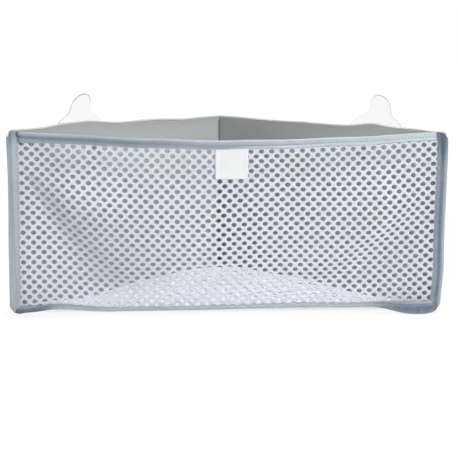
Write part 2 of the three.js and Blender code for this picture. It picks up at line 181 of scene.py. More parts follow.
class CupSizes(bpy.types.PropertyGroup):
    """Sizes of the suction cups and eyelets."""

    rim: length("Rim", "Radius of a cup", 0.037)
    lip: length("Lip", "Width of the flat lip", 0.003)
    lip_thickness: length("Lip thickness", "Thickness of the lip and its tab", 0.0013)
    height: length("Height", "Height of a cup from its boss to its lip", 0.011)
    hollow: length("Hollow", "Depth of the hollow", 0.007)
    boss: length("Boss", "Radius of the boss behind the panel", 0.009)
    head: length("Head", "Radius of the head inside the bag", 0.007)
    head_thickness: length("Head thickness", "Thickness of the head", 0.0032)
    tab_reach: length("Tab reach", "From the cup's axis to the end of its tab", CUP_TOP - HUB_HEIGHT + 0.0016)
    tab_half: length("Tab half width", "Half the width of the tab", 0.0112)
    left_lean: angle("Left lean", "Lean of the left tab to the corner", -0.008)
    right_lean: angle("Right lean", "Lean of the right tab to the corner", -0.130)
    left_bend: length("Left bend", "Bend of the left tab's end away from the wall", 0.0068)
    right_bend: length("Right bend", "Bend of the right tab's end away from the wall", 0.0042)
    bore: length("Bore", "Radius of an eyelet's bore", 0.0046)
    wall: length("Wall", "Thickness of an eyelet's metal", 0.0009)
    flange: length("Flange", "Radius of an eyelet's flange", 0.009)
    gap: length("Gap", "Clearance between pieces", 0.0003)


class Colours(bpy.types.PropertyGroup):
    """Colours of the finishes."""

    cloth: colour("Cloth", "Panel cloth", shade(180, 184, 181))
    # painted shade of the cloth deep inside the bag
    dusk: colour("Dusk", "Panel cloth deep inside the bag", shade(98, 105, 118))
    # painted tint of bluish light through the net, on the lining low down
    cool: colour("Cool", "Tint of the panel cloth behind the net", shade(150, 178, 232))
    tape: colour("Tape", "Binding tape", shade(172, 180, 187))
    net: colour("Net", "Knitted net", shade(215, 219, 228))
    # painted shade of the binding tape
    crease: colour("Crease", "Binding tape deep in a crease", shade(86, 98, 116))
    thread: colour("Thread", "Sewing thread of the tapes", shade(128, 139, 148))
    hem_thread: colour("Hem thread", "Sewing thread of the panels' edges", shade(174, 179, 177))
    patch: colour("Patch", "Bare patch", shade(229, 232, 233))
    plating: colour("Plating", "Eyelets", shade(196, 199, 203))
    # grey shown only where the vinyl is made less clear: painted grey edges for light bent in the vinyl, and
    # its thick middle
    vinyl: colour("Vinyl", "Suction cups", shade(132, 136, 139))
    board: colour("Board", "Stiffening board", shade(217, 217, 212))


def bag():
    return bpy.context.scene.bag_sizes


def net():
    return bpy.context.scene.net_sizes


def stitch():
    return bpy.context.scene.stitch_sizes


def cup():
    return bpy.context.scene.cup_sizes


def colours():
    return bpy.context.scene.bag_colours


# Node trees


def chosen(sockets, key):
    """A socket by its number, or by its name among those in use."""
    if isinstance(key, int):
        return sockets[key]
    return next(socket for socket in sockets if socket.enabled and socket.name == key)


class Reading:
    """A socket's value, for use in arithmetic."""

    def __init__(self, sheet, socket):
        self.sheet = sheet
        self.socket = socket

    def worked(self, operation, *values):
        return self.sheet.make("ShaderNodeMath", {"operation": operation}, dict(enumerate(values)))

    def __add__(self, other):
        return self.worked("ADD", self, other)

    def __radd__(self, other):
        return self.worked("ADD", other, self)

    def __sub__(self, other):
        return self.worked("SUBTRACT", self, other)

    def __rsub__(self, other):
        return self.worked("SUBTRACT", other, self)

    def __mul__(self, other):
        return self.worked("MULTIPLY", self, other)

    def __rmul__(self, other):
        return self.worked("MULTIPLY", other, self)

    def __truediv__(self, other):
        return self.worked("DIVIDE", self, other)

    def __gt__(self, other):
        return self.worked("GREATER_THAN", self, other)

    def sine(self):
        return self.worked("SINE", self)

    def size(self):
        return self.worked("ABSOLUTE", self)

    def smaller(self, other):
        return self.worked("MINIMUM", self, other)

    def larger(self, other):
        return self.worked("MAXIMUM", self, other)


class NodeSheet:
    """A node tree that is written line by line."""

    def __init__(self, tree):
        self.tree = tree

    def make(self, kind, settings=(), inputs=(), output=0):
        """A node with its settings and the values or links of its inputs; gives one of its outputs."""
        node = self.tree.nodes.new(kind)
        for name, value in dict(settings).items():
            setattr(node, name, value)
        for key, value in dict(inputs).items():
            socket = chosen(node.inputs, key)
            for item in value if isinstance(value, list) else [value]:
                if isinstance(item, Reading):
                    self.tree.links.new(item.socket, socket)
                else:
                    socket.default_value = item
        return Reading(self, chosen(node.outputs, output)) if node.outputs else None

    def part(self, vector, axis):
        return self.make("ShaderNodeSeparateXYZ", {}, {"Vector": vector}, axis)

    def vector(self, operation, *values):
        return self.make("ShaderNodeVectorMath", {"operation": operation}, dict(enumerate(values)))

    def blended(self, share, first, second):
        settings = {"data_type": "RGBA", "clamp_factor": True}
        return self.make("ShaderNodeMix", settings, {"Factor": share, "A": first, "B": second}, "Result")


# Finishes

WEAVE = 0.0011  # pitch of the cloth's yarns and of the net's loops
RIB, YARN = 0.0007, 0.0008  # pitch of the tape's ribs and of its yarns
THREAD_TWIST = 9000.0  # radians to the metre
PAINTED_LIGHT_LEVEL = 1.5  # level of cloth and tape where painted light brightens them
PAINTED_TINT_TOP, PAINTED_TINT_FADE = 0.118, 0.022  # height at which the lining's painted bluish tint of light through the net ends, and of its fade


def full(rgb, level=1.0):
    """A colour with its alpha, at a level of brightness."""
    return tuple(min(1.0, part * level) for part in rgb) + (1.0,)


class Finish(NodeSheet):
    """A procedural material."""

    def __init__(self, name):
        self.material = bpy.data.materials.new(name)
        self.material.use_nodes = True
        super().__init__(self.material.node_tree)
        self.tree.nodes.clear()

    def flat(self):
        """The piece's own flat coordinates, in metres."""
        return self.make("ShaderNodeUVMap", {"uv_map": "UVMap"})

    def place(self):
        return self.make("ShaderNodeTexCoord", {}, {}, "Object")

    def speckle(self, scale, detail=2.0):
        inputs = {"Vector": self.place(), "Scale": scale, "Detail": detail, "Roughness": 0.6}
        return self.make("ShaderNodeTexNoise", {}, inputs)

    def crease(self):
        """Painted shade at a spot, from the piece's own attribute; less than nothing where painted light is
        laid on instead.
        """
        return self.make("ShaderNodeAttribute", {"attribute_name": "crease"}, {}, "Fac")

    def creased(self, share, base, deep, painted_light):
        """A base colour darkened by painted shade by that share, and brightened by painted light where the
        share is less than nothing.
        """
        painted_lit = self.blended((0.0 - share).larger(0.0), base, painted_light)
        return self.blended(share, painted_lit, deep)

    def toned(self, share, rgb, dark, light):
        """A colour between a darker and a lighter level of itself."""
        return self.blended(share, full(rgb, dark), full(rgb, light))

    def waves(self, value, pitch):
        """A sine along a value, with that pitch."""
        return (value * (TURN / pitch)).sine()

    def bump(self, height, distance, strength=1.0):
        return self.make("ShaderNodeBump", {}, {"Height": height, "Distance": distance, "Strength": strength})

    def finished(self, **inputs):
        named = {key.replace("_", " "): value for key, value in inputs.items()}
        shader = self.make("ShaderNodeBsdfPrincipled", {}, named)
        self.make("ShaderNodeOutputMaterial", {}, {"Surface": shader})
        return self.material


def woven_cloth(name, cool):
    """Plain woven polyester with a soft nap and slightly uneven yarns, with painted shade and painted light
    by its attribute, and low down a painted bluish tint of light through the net by that share.
    """
    finish = Finish(name)
    flat = finish.flat()
    warp = finish.waves(finish.part(flat, "X"), WEAVE)
    weft = finish.waves(finish.part(flat, "Y"), WEAVE)
    slub = finish.speckle(900.0)
    mottle = finish.speckle(38.0, 4.0) * 0.7 + finish.speckle(620.0) * 0.3
    rgb = colours().cloth
    woven = finish.toned(mottle, rgb, 0.88, 1.10)
    base = finish.creased(finish.crease(), woven, full(colours().dusk), full(rgb, PAINTED_LIGHT_LEVEL))
    low = ((PAINTED_TINT_TOP - finish.part(finish.place(), "Z")) / PAINTED_TINT_FADE).larger(0.0).smaller(1.0)
    return finish.finished(
        Base_Color=finish.blended(low * cool, base, full(colours().cool)),
        Roughness=0.86 + 0.10 * slub,
        Normal=finish.bump(warp * weft * 0.5 + slub, 0.00012, 0.55),
        Sheen_Weight=0.18,
        Sheen_Roughness=0.5,
        Specular_IOR_Level=0.25,
    )


def panel_cloth():
    """Cloth of the wall side and the turned edges."""
    return woven_cloth("panel_cloth", 0.0)


def lining_cloth():
    """Cloth of the bag side, with the painted bluish tint low down."""
    return woven_cloth("lining_cloth", 0.12)


def binding_tape():
    """Ribbed binding tape, darkened by painted shade and brightened by painted light through its attribute.
    """
    finish = Finish("binding_tape")
    flat = finish.flat()
    rib = finish.waves(finish.part(flat, "X"), RIB)
    yarn = finish.waves(finish.part(flat, "Y"), YARN)
    slub = finish.speckle(700.0)
    mottle = finish.speckle(85.0, 4.0)
    rgb = colours().tape
    woven = finish.toned(mottle * 0.7 + slub * 0.3, rgb, 0.78, 1.2)
    # painted shade, mottled
    share = finish.crease() * (0.7 + 0.6 * finish.speckle(260.0, 3.0))
    return finish.finished(
        Base_Color=finish.creased(share, woven, full(colours().crease), full(rgb, PAINTED_LIGHT_LEVEL)),
        Roughness=0.78 + 0.12 * slub,
        Normal=finish.bump(rib * 0.3 + yarn * 0.3 + slub * 0.7, 0.00010, 0.5),
        Sheen_Weight=0.22,
        Sheen_Roughness=0.45,
        Specular_IOR_Level=0.3,
    )


def knitted_net():
    """White knitted polyester with fine loops along its strands, with painted shade and painted light by its
    attribute.
    """
    finish = Finish("knitted_net")
    flat = finish.flat()
    along = finish.part(flat, "X")
    across = finish.part(flat, "Y")
    loops = finish.waves(along + across, WEAVE) * finish.waves(along - across, WEAVE)
    fluff = finish.speckle(1400.0)
    rgb = colours().net
    knit = finish.toned(finish.speckle(45.0, 3.0), rgb, 0.94, 1.04)
    return finish.finished(
        # painted shade darkens the net to 0.66 and painted light brightens it to 1.25
        Base_Color=finish.creased(finish.crease(), knit, full(rgb, 0.66), full(rgb, 1.25)),
        Roughness=0.72 + 0.16 * fluff,
        Normal=finish.bump(loops * 0.5 + fluff, 0.00014, 0.5),
        Sheen_Weight=0.12,
        Sheen_Roughness=0.5,
        Specular_IOR_Level=0.3,
    )


def twisted(name, rgb):
    """Twisted thread of one colour."""
    finish = Finish(name)
    place = finish.place()
    diagonal = finish.part(place, "X") + finish.part(place, "Y") + finish.part(place, "Z")
    twist = (diagonal * THREAD_TWIST).sine()
    base = finish.toned(finish.speckle(300.0), rgb, 0.9, 1.1)
    return finish.finished(Base_Color=base, Roughness=0.7 + 0.08 * twist, Normal=finish.bump(twist, 0.00004))


def sewing_thread():
    """Thread of the tapes."""
    return twisted("sewing_thread", colours().thread)


def hem_thread():
    """Thread of the panels' edges."""
    return twisted("hem_thread", colours().hem_thread)


def soft_patch():
    """Frosted soft patch, plain on its face."""
    finish = Finish("soft_patch")
    grain = finish.speckle(2200.0)
    return finish.finished(
        Base_Color=finish.toned(finish.speckle(90.0, 3.0), colours().patch, 0.95, 1.03),
        Roughness=0.42 + 0.16 * grain,
        Normal=finish.bump(grain, 0.00006, 0.4),
        Subsurface_Weight=0.25,
        Subsurface_Scale=0.001,
        Specular_IOR_Level=0.4,
    )


def plated_eyelet():
    """Plated pressed metal with fine scuffs."""
    finish = Finish("plated_eyelet")
    scuff = finish.speckle(800.0, 4.0)
    return finish.finished(
        Base_Color=finish.toned(finish.speckle(150.0), colours().plating, 0.92, 1.04),
        Metallic=1.0,
        Roughness=0.42 + 0.14 * scuff,
        Normal=finish.bump(scuff, 0.00003, 0.3),
    )


def clear_vinyl():
    """Clear soft vinyl with faint moulding ripples, grey and less clear by its attribute: painted grey at its
    edges, standing in for light bent in the vinyl, and in its thick middle.
    """
    finish = Finish("clear_vinyl")
    ripple = finish.speckle(70.0)
    return finish.finished(
        Base_Color=finish.toned(ripple, colours().vinyl, 0.96, 1.0),
        Roughness=0.30 + 0.06 * ripple,
        Normal=finish.bump(ripple, 0.0003, 0.15),
        # less clear where the painted grey is laid on
        Alpha=0.055 + 0.03 * ripple + 0.7 * finish.crease(),
        IOR=1.4,
    )


def fibre_board():
    """Plain stiffening board with short fibres."""
    finish = Finish("fibre_board")
    fibre = finish.speckle(500.0, 5.0)
    return finish.finished(
        Base_Color=finish.toned(fibre, colours().board, 0.9, 1.05),
        Roughness=0.7 + 0.15 * fibre,
        Normal=finish.bump(fibre, 0.00008, 0.4),
    )


def bright_rays(sheet):
    """1 for the rays that look at the backdrop straight or through glass."""
    seen = sheet.make("ShaderNodeLightPath", {}, {}, "Is Camera Ray")
    through = sheet.make("ShaderNodeLightPath", {}, {}, "Is Transmission Ray")
    return seen.larger(through)


def studio_floor():
    """White floor that keeps a faint shadow under the bag and fades into the backdrop."""
    finish = Finish("studio_floor")
    place = finish.place()
    apart = finish.make("ShaderNodeVectorMath", {"operation": "LENGTH"}, {0: place}, "Value")
    fading = {"interpolation_type": "SMOOTHSTEP"}
    backdrop = {"Value": apart, "From Min": 0.5, "From Max": 1.2}
    far = finish.make("ShaderNodeMapRange", fading, backdrop, "Result")
    reach = 0.085
    front = finish.part(place, "Y") + reach
    sides = reach - finish.part(place, "Y") - finish.part(place, "X").size()
    shadow = {"Value": front.smaller(sides), "From Max": 0.02}
    under = finish.make("ShaderNodeMapRange", fading, shadow, "Result")
    paint = finish.make("ShaderNodeBsdfDiffuse", {}, {"Color": (0.80, 0.80, 0.80, 1.0)})
    glow = finish.make("ShaderNodeEmission", {}, {"Color": WHITE, "Strength": 1.05})
    lit = bright_rays(finish) * (0.85 + 0.15 * far - 0.6 * under)
    shader = finish.make("ShaderNodeMixShader", {}, {0: lit, 1: paint, 2: glow})
    finish.make("ShaderNodeOutputMaterial", {}, {"Surface": shader})
    return finish.material


def finish_of(make):
    """The material of that maker, made once."""
    return bpy.data.materials.get(make.__name__) or make()


# Meshes


class Shell:
    """Closed mesh under construction, with a flat coordinate for each face corner and painted shade at some
    points.
    """

    def __init__(self):
        self.points = []
        self.faces = []
        self.flat = []
        # painted shade by point number, painted light where less than nothing
        self.creases = {}

    def face(self, corners, flat):
        self.faces.append(corners)
        self.flat.extend(flat)

    def tube(self, rings, along, around, creases=None):
        """Rings of points, one after another, closed round and at both ends."""
        start = len(self.points)
        count = len(rings[0])
        if creases is not None:
            self.creases.update(enumerate(np.ravel(creases), start))
        for ring in rings:
            self.points.extend(tuple(point) for point in ring)
        for i in range(len(rings) - 1):
            for k in range(count):
                low, high = start + i * count, start + (i + 1) * count
                near, far = k, (k + 1) % count
                flat = [(along[i], around[k]), (along[i], around[k + 1])]
                flat += [(along[i + 1], around[k + 1]), (along[i + 1], around[k])]
                self.face((low + near, low + far, high + far, high + near), flat)
        for ring, turn in ((0, -1), (len(rings) - 1, 1)):
            corners = [start + ring * count + k for k in range(count)][::turn]
            self.face(tuple(corners), [(along[ring], around[k]) for k in range(count)][::turn])

    def slab(self, outer, inner, flat, keep=None, creases=None):
        """Two grids of points and the walls between their edges; keep tells which cells there are."""
        start = len(self.points)
        across, up = outer.shape[:2]
        back = start + across * up
        for grid, first in ((outer, start), (inner, back)):
            self.points.extend(map(tuple, grid.reshape(-1, 3)))
            if creases is not None:
                self.creases.update(enumerate(np.ravel(creases), first))
        keep = np.ones((across - 1, up - 1), bool) if keep is None else keep
        edges = {}
        for i, k in zip(*np.nonzero(keep)):
            corners = [(i, k), (i + 1, k), (i + 1, k + 1), (i, k + 1)]
            numbers = [a * up + b for a, b in corners]
            spots = [tuple(flat[a, b]) for a, b in corners]
            self.face(tuple(start + n for n in numbers), spots)
            self.face(tuple(back + n for n in reversed(numbers)), spots[::-1])
            for a in range(4):
                edges[(numbers[a], numbers[(a + 1) % 4])] = (spots[a], spots[(a + 1) % 4])
        for (a, b), (spot_a, spot_b) in edges.items():
            if (b, a) not in edges:
                wall = (start + b, start + a, back + a, back + b)
                self.face(wall, [spot_b, spot_a, spot_a, spot_b])

    def made(self, name, make, sharp=50.0):
        """The finished object, its faces turned outward."""
        mesh = bpy.data.meshes.new(name)
        mesh.from_pydata(self.points, [], self.faces)
        layer = mesh.uv_layers.new(name="UVMap")
        layer.data.foreach_set("uv", np.array(self.flat, dtype=np.float32).ravel())
        # the painted shade is kept as a point attribute for the finish
        if self.creases:
            shade_depths = mesh.attributes.new("crease", "FLOAT", "POINT")
            shade_depths.data.foreach_set("value", [self.creases.get(k, 0.0) for k in range(len(self.points))])
        work = bmesh.new()
        work.from_mesh(mesh)
        loose = [vert for vert in work.verts if not vert.link_faces]
        bmesh.ops.delete(work, geom=loose, context="VERTS")
        bmesh.ops.recalc_face_normals(work, faces=work.faces)
        work.to_mesh(mesh)
        work.free()
        mesh.shade_smooth()
        mesh.set_sharp_from_angle(angle=math.radians(sharp))
        return placed(name, mesh, make)


def placed(name, mesh, make):
    """An object of that mesh, in the scene and in one finish."""
    mesh.name = name
    mesh.materials.clear()
    mesh.materials.append(finish_of(make))
    piece = bpy.data.objects.new(name, mesh)
    bpy.context.scene.collection.objects.link(piece)
    return piece


def eased(low, high, value):
    """0 below low, 1 above high and a smooth step between."""
    share = np.clip((value - low) / (high - low), 0.0, 1.0)
    return share * share * (3.0 - 2.0 * share)


def faded(low, high, value):
    """1 below low, 0 above high and a smooth step between."""
    return 1.0 - eased(low, high, value)


def hump(value, middle, width):
    """1 at the middle, falling away on both sides."""
    return np.exp(-(((value - middle) / width) ** 2))


def of_side(place, left, right):
    """The value of the left or the right side, by the sign of a place across the bag."""
    return np.where(np.less(place, 0.0), left, right)[()]


def lengths_along(points):
    """Distance of each point from the first, along the line through all."""
    steps = np.linalg.norm(np.diff(np.asarray(points), axis=0), axis=1)
    return np.concatenate([[0.0], np.cumsum(steps)])


def lengths_round(section):
    """Distance of each point of a closed section from the first, and the whole way round."""
    return lengths_along(np.vstack([section, section[:1]]))


def swept(shell, sections, origins, across, up, creases=None):
    """Sections of (across, up) points laid out at each station."""
    rings = []
    for section, origin, right, high in zip(sections, origins, across, up):
        section = np.asarray(section)
        rings.append(origin + section[:, :1] * right + section[:, 1:] * high)
    shell.tube(rings, lengths_along(origins), lengths_round(sections[0]), creases)


def rides(piece, body, slot, *nodes):
    """A piece that moves with one body."""
    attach(piece, body)
    if nodes:
        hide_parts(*nodes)


def spans(piece, slot, *nodes):
    """A piece across the front, its place baked into its mesh."""
    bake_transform(piece)
    if nodes:
        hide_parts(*nodes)


# Drape of the bag

NET_TUCK = 0.0014  # how far the front net tucks under the top of the foot tape
RIM_LAP = 0.75  # share of the rim tape's height between its fold and the end of the front net
BASE_START = 0.001  # from the front line back to the base net
BASE_PAST = 0.0035  # how far the base net reaches past the corner
RIPPLE = 0.0007  # height of the ripples in the front


def spread(x):
    """0 at the middle, 1 at the side tapes and past them."""
    return np.clip(np.abs(x) / bag().side_mouth, 0.0, 1.0)


def bow(x):
    """1 at the middle, 0 at the side tapes."""
    return (1.0 - spread(x) ** 2) ** 2


def rim_line(x):
    """Height of the front's top edge."""
    b = bag()
    corner = of_side(x, b.left_corner_rise, b.right_corner_rise)
    return b.top - b.rim_sag * (1.0 - spread(x) ** 2) + corner * spread(x)


def past_fold(side, fold_foot, fold_rise, x, z):
    """Distance inward of one of the slanting folds."""
    run = bag().side_mouth - fold_foot
    slant = math.hypot(run, fold_rise)
    return ((bag().side_mouth - side * x) * fold_rise + (z - fold_rise) * run) / slant


def slack(x, z):
    """How far the front stands forward of its side seams."""
    b = bag()
    inside = b.side_mouth - np.abs(x)
    rise = np.clip((z - b.foot) / (rim_line(x) - b.foot), 0.0, 1.0)
    low = (1.0 - rise) ** 3
    left = eased(-b.fold_width, b.fold_width, past_fold(-1.0, b.left_fold_foot, b.left_fold_rise, x, z))
    right = eased(-b.fold_width, b.fold_width, past_fold(1.0, b.right_fold_foot, b.right_fold_rise, x, z))
    loose = left * right * eased(0.0, 0.05, inside)
    firm = eased(0.5, 0.95, rise)
    forward = (1.0 - firm) * b.belly * loose + firm * b.rim_belly * bow(x)
    ripple = np.sin(x / 0.019 + 1.3) * np.sin(z / 0.023 + x / 0.06)
    ripple *= RIPPLE * eased(0.0, 0.03, inside) * 4.0 * rise * (1.0 - rise)
    return forward * (1.0 - low) - b.recess * bow(x) * low + ripple


def fold_shade(x, z):
    """Painted shade on the front net: a fan from the upper left, a hollow above it, dimmer on the right, and
    painted light along the foot.
    """
    apex_x, apex_z = -bag().side_mouth, 0.128
    apart = np.hypot(x - apex_x, z - apex_z)
    turn = np.degrees(np.arctan2(x - apex_x, apex_z - z))
    fan = 0.6 * eased(23.0, 39.0, turn) * faded(42.0, 74.0, turn)
    fan = fan * eased(0.0, 0.02, apart) * (1.0 - 0.4 * eased(0.11, 0.17, apart))
    # painted shade in a hollow near the upper left
    hollow = 0.3 * hump(x, -0.150, 0.018) * hump(z, 0.137, 0.018)
    painted_right_shade = 0.15 * eased(0.0, 0.12, x)
    # painted light along the foot, less than nothing
    painted_light = 0.7 * faded(0.006, 0.036, z) * faded(0.11, 0.15, np.abs(x))
    return fan + hollow + painted_right_shade - painted_light


def foot_height(x):
    """Height of the foot tape's middle."""
    b = bag()
    corner = of_side(x, b.left_corner_lift, b.right_corner_lift)
    wave = 0.0003 + 0.0008 * np.cos((x - 0.062) / 0.0295)
    lift = b.foot_lift + b.foot_tilt * x + corner * eased(0.100, 0.155, np.abs(x)) + wave
    return lift + b.foot_tape / 2


def front_point(x, v):
    """A point of the front net: v from 0 at the foot tape to 1 at the rim tape, and a little past both."""
    b = bag()
    low = foot_height(x) + b.foot_tape / 2 - NET_TUCK
    high = rim_line(x) - RIM_LAP * b.rim_height
    held = np.clip(v, 0.0, 1.0)
    z = low + (high - low) * held
    z = z + np.where(v < 0.0, 0.55, 0.35) * (v - held) * (high - low)
    wander = 0.0009 * 4.0 * held * (1.0 - held)
    across = x + wander * np.sin(z / 0.017 + x / 0.05) * (1.0 - spread(x) ** 4)
    z = z + wander * np.sin(x / 0.031 + 0.6)
    return np.stack([across, b.front_line - slack(x, z), z], axis=-1)


def base_front(x):
    """Seam of the base and the front."""
    return bag().front_line + bag().recess * bow(x)


def base_reach():
    """From the front seam to the back corner of the base net."""
    return CORNER_Y + BASE_PAST - bag().front_line - BASE_START


def base_point(x, v):
    """A point of the base net: v is the distance behind its front seam."""
    b = bag()
    reach = base_reach()
    depth = np.maximum(reach - np.abs(x), 1e-4)
    y = b.front_line + BASE_START + v + np.clip(1.0 - v / depth, 0.0, 1.0) * b.recess * bow(x)
    inward = (reach - np.abs(x) - v) / ROOT2
    share = np.clip((np.abs(x) - y + CORNER_Y) / ROOT2 / b.panel, 0.0, 1.0)
    swell = eased(0.003, 0.026, inward) * faded(0.03, 0.10, inward)
    mound = b.base_mound * swell * eased(-0.1, 0.2, share) * faded(0.5, 0.9, share)
    lift = foot_height(x) + (b.tape / 2 - foot_height(x)) * eased(0.0, 0.06, v)
    held = eased(0.0, 0.03, inward) * eased(0.0, 0.03, v)
    ripple = 0.0006 * np.sin(x / 0.017) * np.sin(v / 0.021 + 0.5) * held
    return np.stack([x, y, lift + mound + np.maximum(ripple, -0.0003)], axis=-1)


# Nets

UNCUT = 10.0  # a cut that lies past every net
INTO_SIDES = 0.0018  # how far the front net's outer holes lie in the side tapes


def net_cell(across, up):
    """One diamond of the net with its oval hole, the strands rounded on both faces."""
    n = net()
    corners = np.array([(across / 2, 0.0), (0.0, up / 2), (-across / 2, 0.0), (0.0, -up / 2)])
    per_side = 3
    count = 4 * per_side
    diamond, oval = [], []
    for k in range(count):
        quarter, step = divmod(k, per_side)
        start, end = corners[quarter], corners[(quarter + 1) % 4]
        diamond.append(start + (end - start) * step / per_side)
        turn = TURN * k / count
        oval.append((n.hole_across / 2 * math.cos(turn), n.hole_up / 2 * math.sin(turn)))
    diamond, oval = np.array(diamond), np.array(oval)
    crown = 0.35 * diamond + 0.65 * oval
    levels = [(diamond, 0.92), (crown, 1.0), (oval, 0.0), (crown, -1.0), (diamond, -0.92)]
    points = [(*spot, height * n.strand) for ring, height in levels for spot in ring]
    faces = []
    for low in range(0, (len(levels) - 1) * count, count):
        for k in range(count):
            far = (k + 1) % count
            faces.append((low + k, low + far, low + count + far, low + count + k))
    mesh = bpy.data.meshes.new("net_cell")
    mesh.from_pydata(points, [], faces)
    return placed("net_cell", mesh, knitted_net)


def drape_sheet(name, across, up, place, shading):
    """A fine sheet with the net's drape and painted shade and, as its UV map, its place in the flat net."""
    x, v = np.meshgrid(across, up, indexing="ij")
    grid = place(x, v)
    shade_depths = shading(grid[..., 0], grid[..., 2])
    rows = len(up)
    faces, spots = [], []
    u = (across - across[0]) / (across[-1] - across[0])
    w = (up - up[0]) / (up[-1] - up[0])
    for i in range(len(across) - 1):
        for k in range(rows - 1):
            corners = [(i, k), (i + 1, k), (i + 1, k + 1), (i, k + 1)]
            faces.append(tuple(a * rows + b for a, b in corners))
            spots.extend((u[a], w[b]) for a, b in corners)
    mesh = bpy.data.meshes.new(name)
    mesh.from_pydata([tuple(point) for point in grid.reshape(-1, 3)], [], faces)
    layer = mesh.uv_layers.new(name="flat")
    layer.data.foreach_set("uv", np.array(spots, dtype=np.float32).ravel())
    creases = mesh.attributes.new("crease", "FLOAT", "POINT")
    creases.data.foreach_set("value", shade_depths.astype(np.float32).ravel())
    mesh.shade_smooth()
    return placed(name, mesh, knitted_net)


def tree_with(name, inputs):
    """A geometry tree with named inputs: the sheet to write on and a reading of each input."""
    tree = bpy.data.node_groups.new(name, "GeometryNodeTree")
    tree.interface.new_socket("Geometry", in_out="OUTPUT", socket_type="NodeSocketGeometry")
    tree.interface.new_socket("Geometry", in_out="INPUT", socket_type="NodeSocketGeometry")
    for label, kind in inputs.items():
        tree.interface.new_socket(label, in_out="INPUT", socket_type="NodeSocket" + kind)
    sheet = NodeSheet(tree)
    entry = tree.nodes.new("NodeGroupInput")
    return sheet, {label: Reading(sheet, entry.outputs[label]) for label in inputs}


def net_tree():
    """Repeats the cell over a flat lattice, cuts it at a slant and to one side, and lays it on the drape."""
    inputs = {"Drape": "Object", "Cell": "Object", "Columns": "Int", "Rows": "Int"}
    inputs |= {"Pitch across": "Float", "Pitch up": "Float", "Width": "Float", "Height": "Float"}
    inputs |= {"Slant reach": "Float", "Side": "Float", "Limit": "Float", "Finish": "Material"}
    sheet, given = tree_with("net_lattice", inputs)
    cell = sheet.make("GeometryNodeObjectInfo", {}, {"Object": given["Cell"]}, "Geometry")
    lattices = []
    for fewer in (0, 1):
        columns = given["Columns"] - fewer
        rows = given["Rows"] - fewer
        sizes = {"Size X": (columns - 1) * given["Pitch across"], "Size Y": (rows - 1) * given["Pitch up"]}
        sizes |= {"Vertices X": columns, "Vertices Y": rows}
        lattices.append(sheet.make("GeometryNodeMeshGrid", {}, sizes, "Mesh"))
    dots = sheet.make("GeometryNodeJoinGeometry", {}, {"Geometry": lattices})
    place = sheet.make("GeometryNodeInputPosition")
    slant = sheet.part(place, "X").size() + sheet.part(place, "Y") + given["Height"] / 2
    outside = {"Geometry": dots, "Selection": slant > given["Slant reach"]}
    dots = sheet.make("GeometryNodeDeleteGeometry", {"domain": "POINT"}, outside)
    beyond = {"Geometry": dots, "Selection": sheet.part(place, "X") * given["Side"] > given["Limit"]}
    dots = sheet.make("GeometryNodeDeleteGeometry", {"domain": "POINT"}, beyond)
    cells = sheet.make("GeometryNodeInstanceOnPoints", {}, {"Points": dots, "Instance": cell})
    flat = sheet.make("GeometryNodeRealizeInstances", {}, {"Geometry": cells})
    joined = sheet.make("GeometryNodeMergeByDistance", {}, {"Geometry": flat, "Distance": 0.00005})
    u = sheet.part(place, "X") / given["Width"] + 0.5
    v = sheet.part(place, "Y") / given["Height"] + 0.5
    spot = sheet.make("ShaderNodeCombineXYZ", {}, {"X": u, "Y": v})
    drape = sheet.make("GeometryNodeObjectInfo", {}, {"Object": given["Drape"]}, "Geometry")
    vectors, numbers = {"data_type": "FLOAT_VECTOR"}, {"data_type": "FLOAT"}
    unfolded = sheet.make("GeometryNodeInputNamedAttribute", vectors, {"Name": "flat"}, "Attribute")
    normal = sheet.make("GeometryNodeInputNormal", {}, {}, "Normal")
    # the drape's painted shade is carried over onto the net
    depth = sheet.make("GeometryNodeInputNamedAttribute", numbers, {"Name": "crease"}, "Attribute")
    sampled = []
    for kind, value in ((vectors, place), (vectors, normal), (numbers, depth)):
        sources = {"Mesh": drape, "Value": value, "UV Map": unfolded, "Sample UV": spot}
        sampled.append(sheet.make("GeometryNodeSampleUVSurface", kind, sources, "Value"))
    ground, outward, crease = sampled
    height = {"Vector": outward, "Scale": sheet.part(place, "Z")}
    lifted = sheet.make("ShaderNodeVectorMath", {"operation": "SCALE"}, height)
    spots, stored = {"data_type": "FLOAT2", "domain": "CORNER"}, {"Name": "UVMap", "Value": place}
    marked = sheet.make("GeometryNodeStoreNamedAttribute", spots, {"Geometry": joined} | stored)
    shade_depths, stored = {"data_type": "FLOAT", "domain": "POINT"}, {"Name": "crease", "Value": crease}
    creased = sheet.make("GeometryNodeStoreNamedAttribute", shade_depths, {"Geometry": marked} | stored)
    laid = {"Geometry": creased, "Position": sheet.vector("ADD", ground, lifted)}
    draped = sheet.make("GeometryNodeSetPosition", {}, laid)
    smooth = sheet.make("GeometryNodeSetShadeSmooth", {}, {"Geometry": draped})
    ended = sheet.make("GeometryNodeRealizeInstances", {}, {"Geometry": smooth})
    dressed = sheet.make("GeometryNodeSetMaterial", {}, {"Geometry": ended, "Material": given["Finish"]})
    sheet.make("NodeGroupOutput", {}, {"Geometry": dressed})
    return sheet.tree


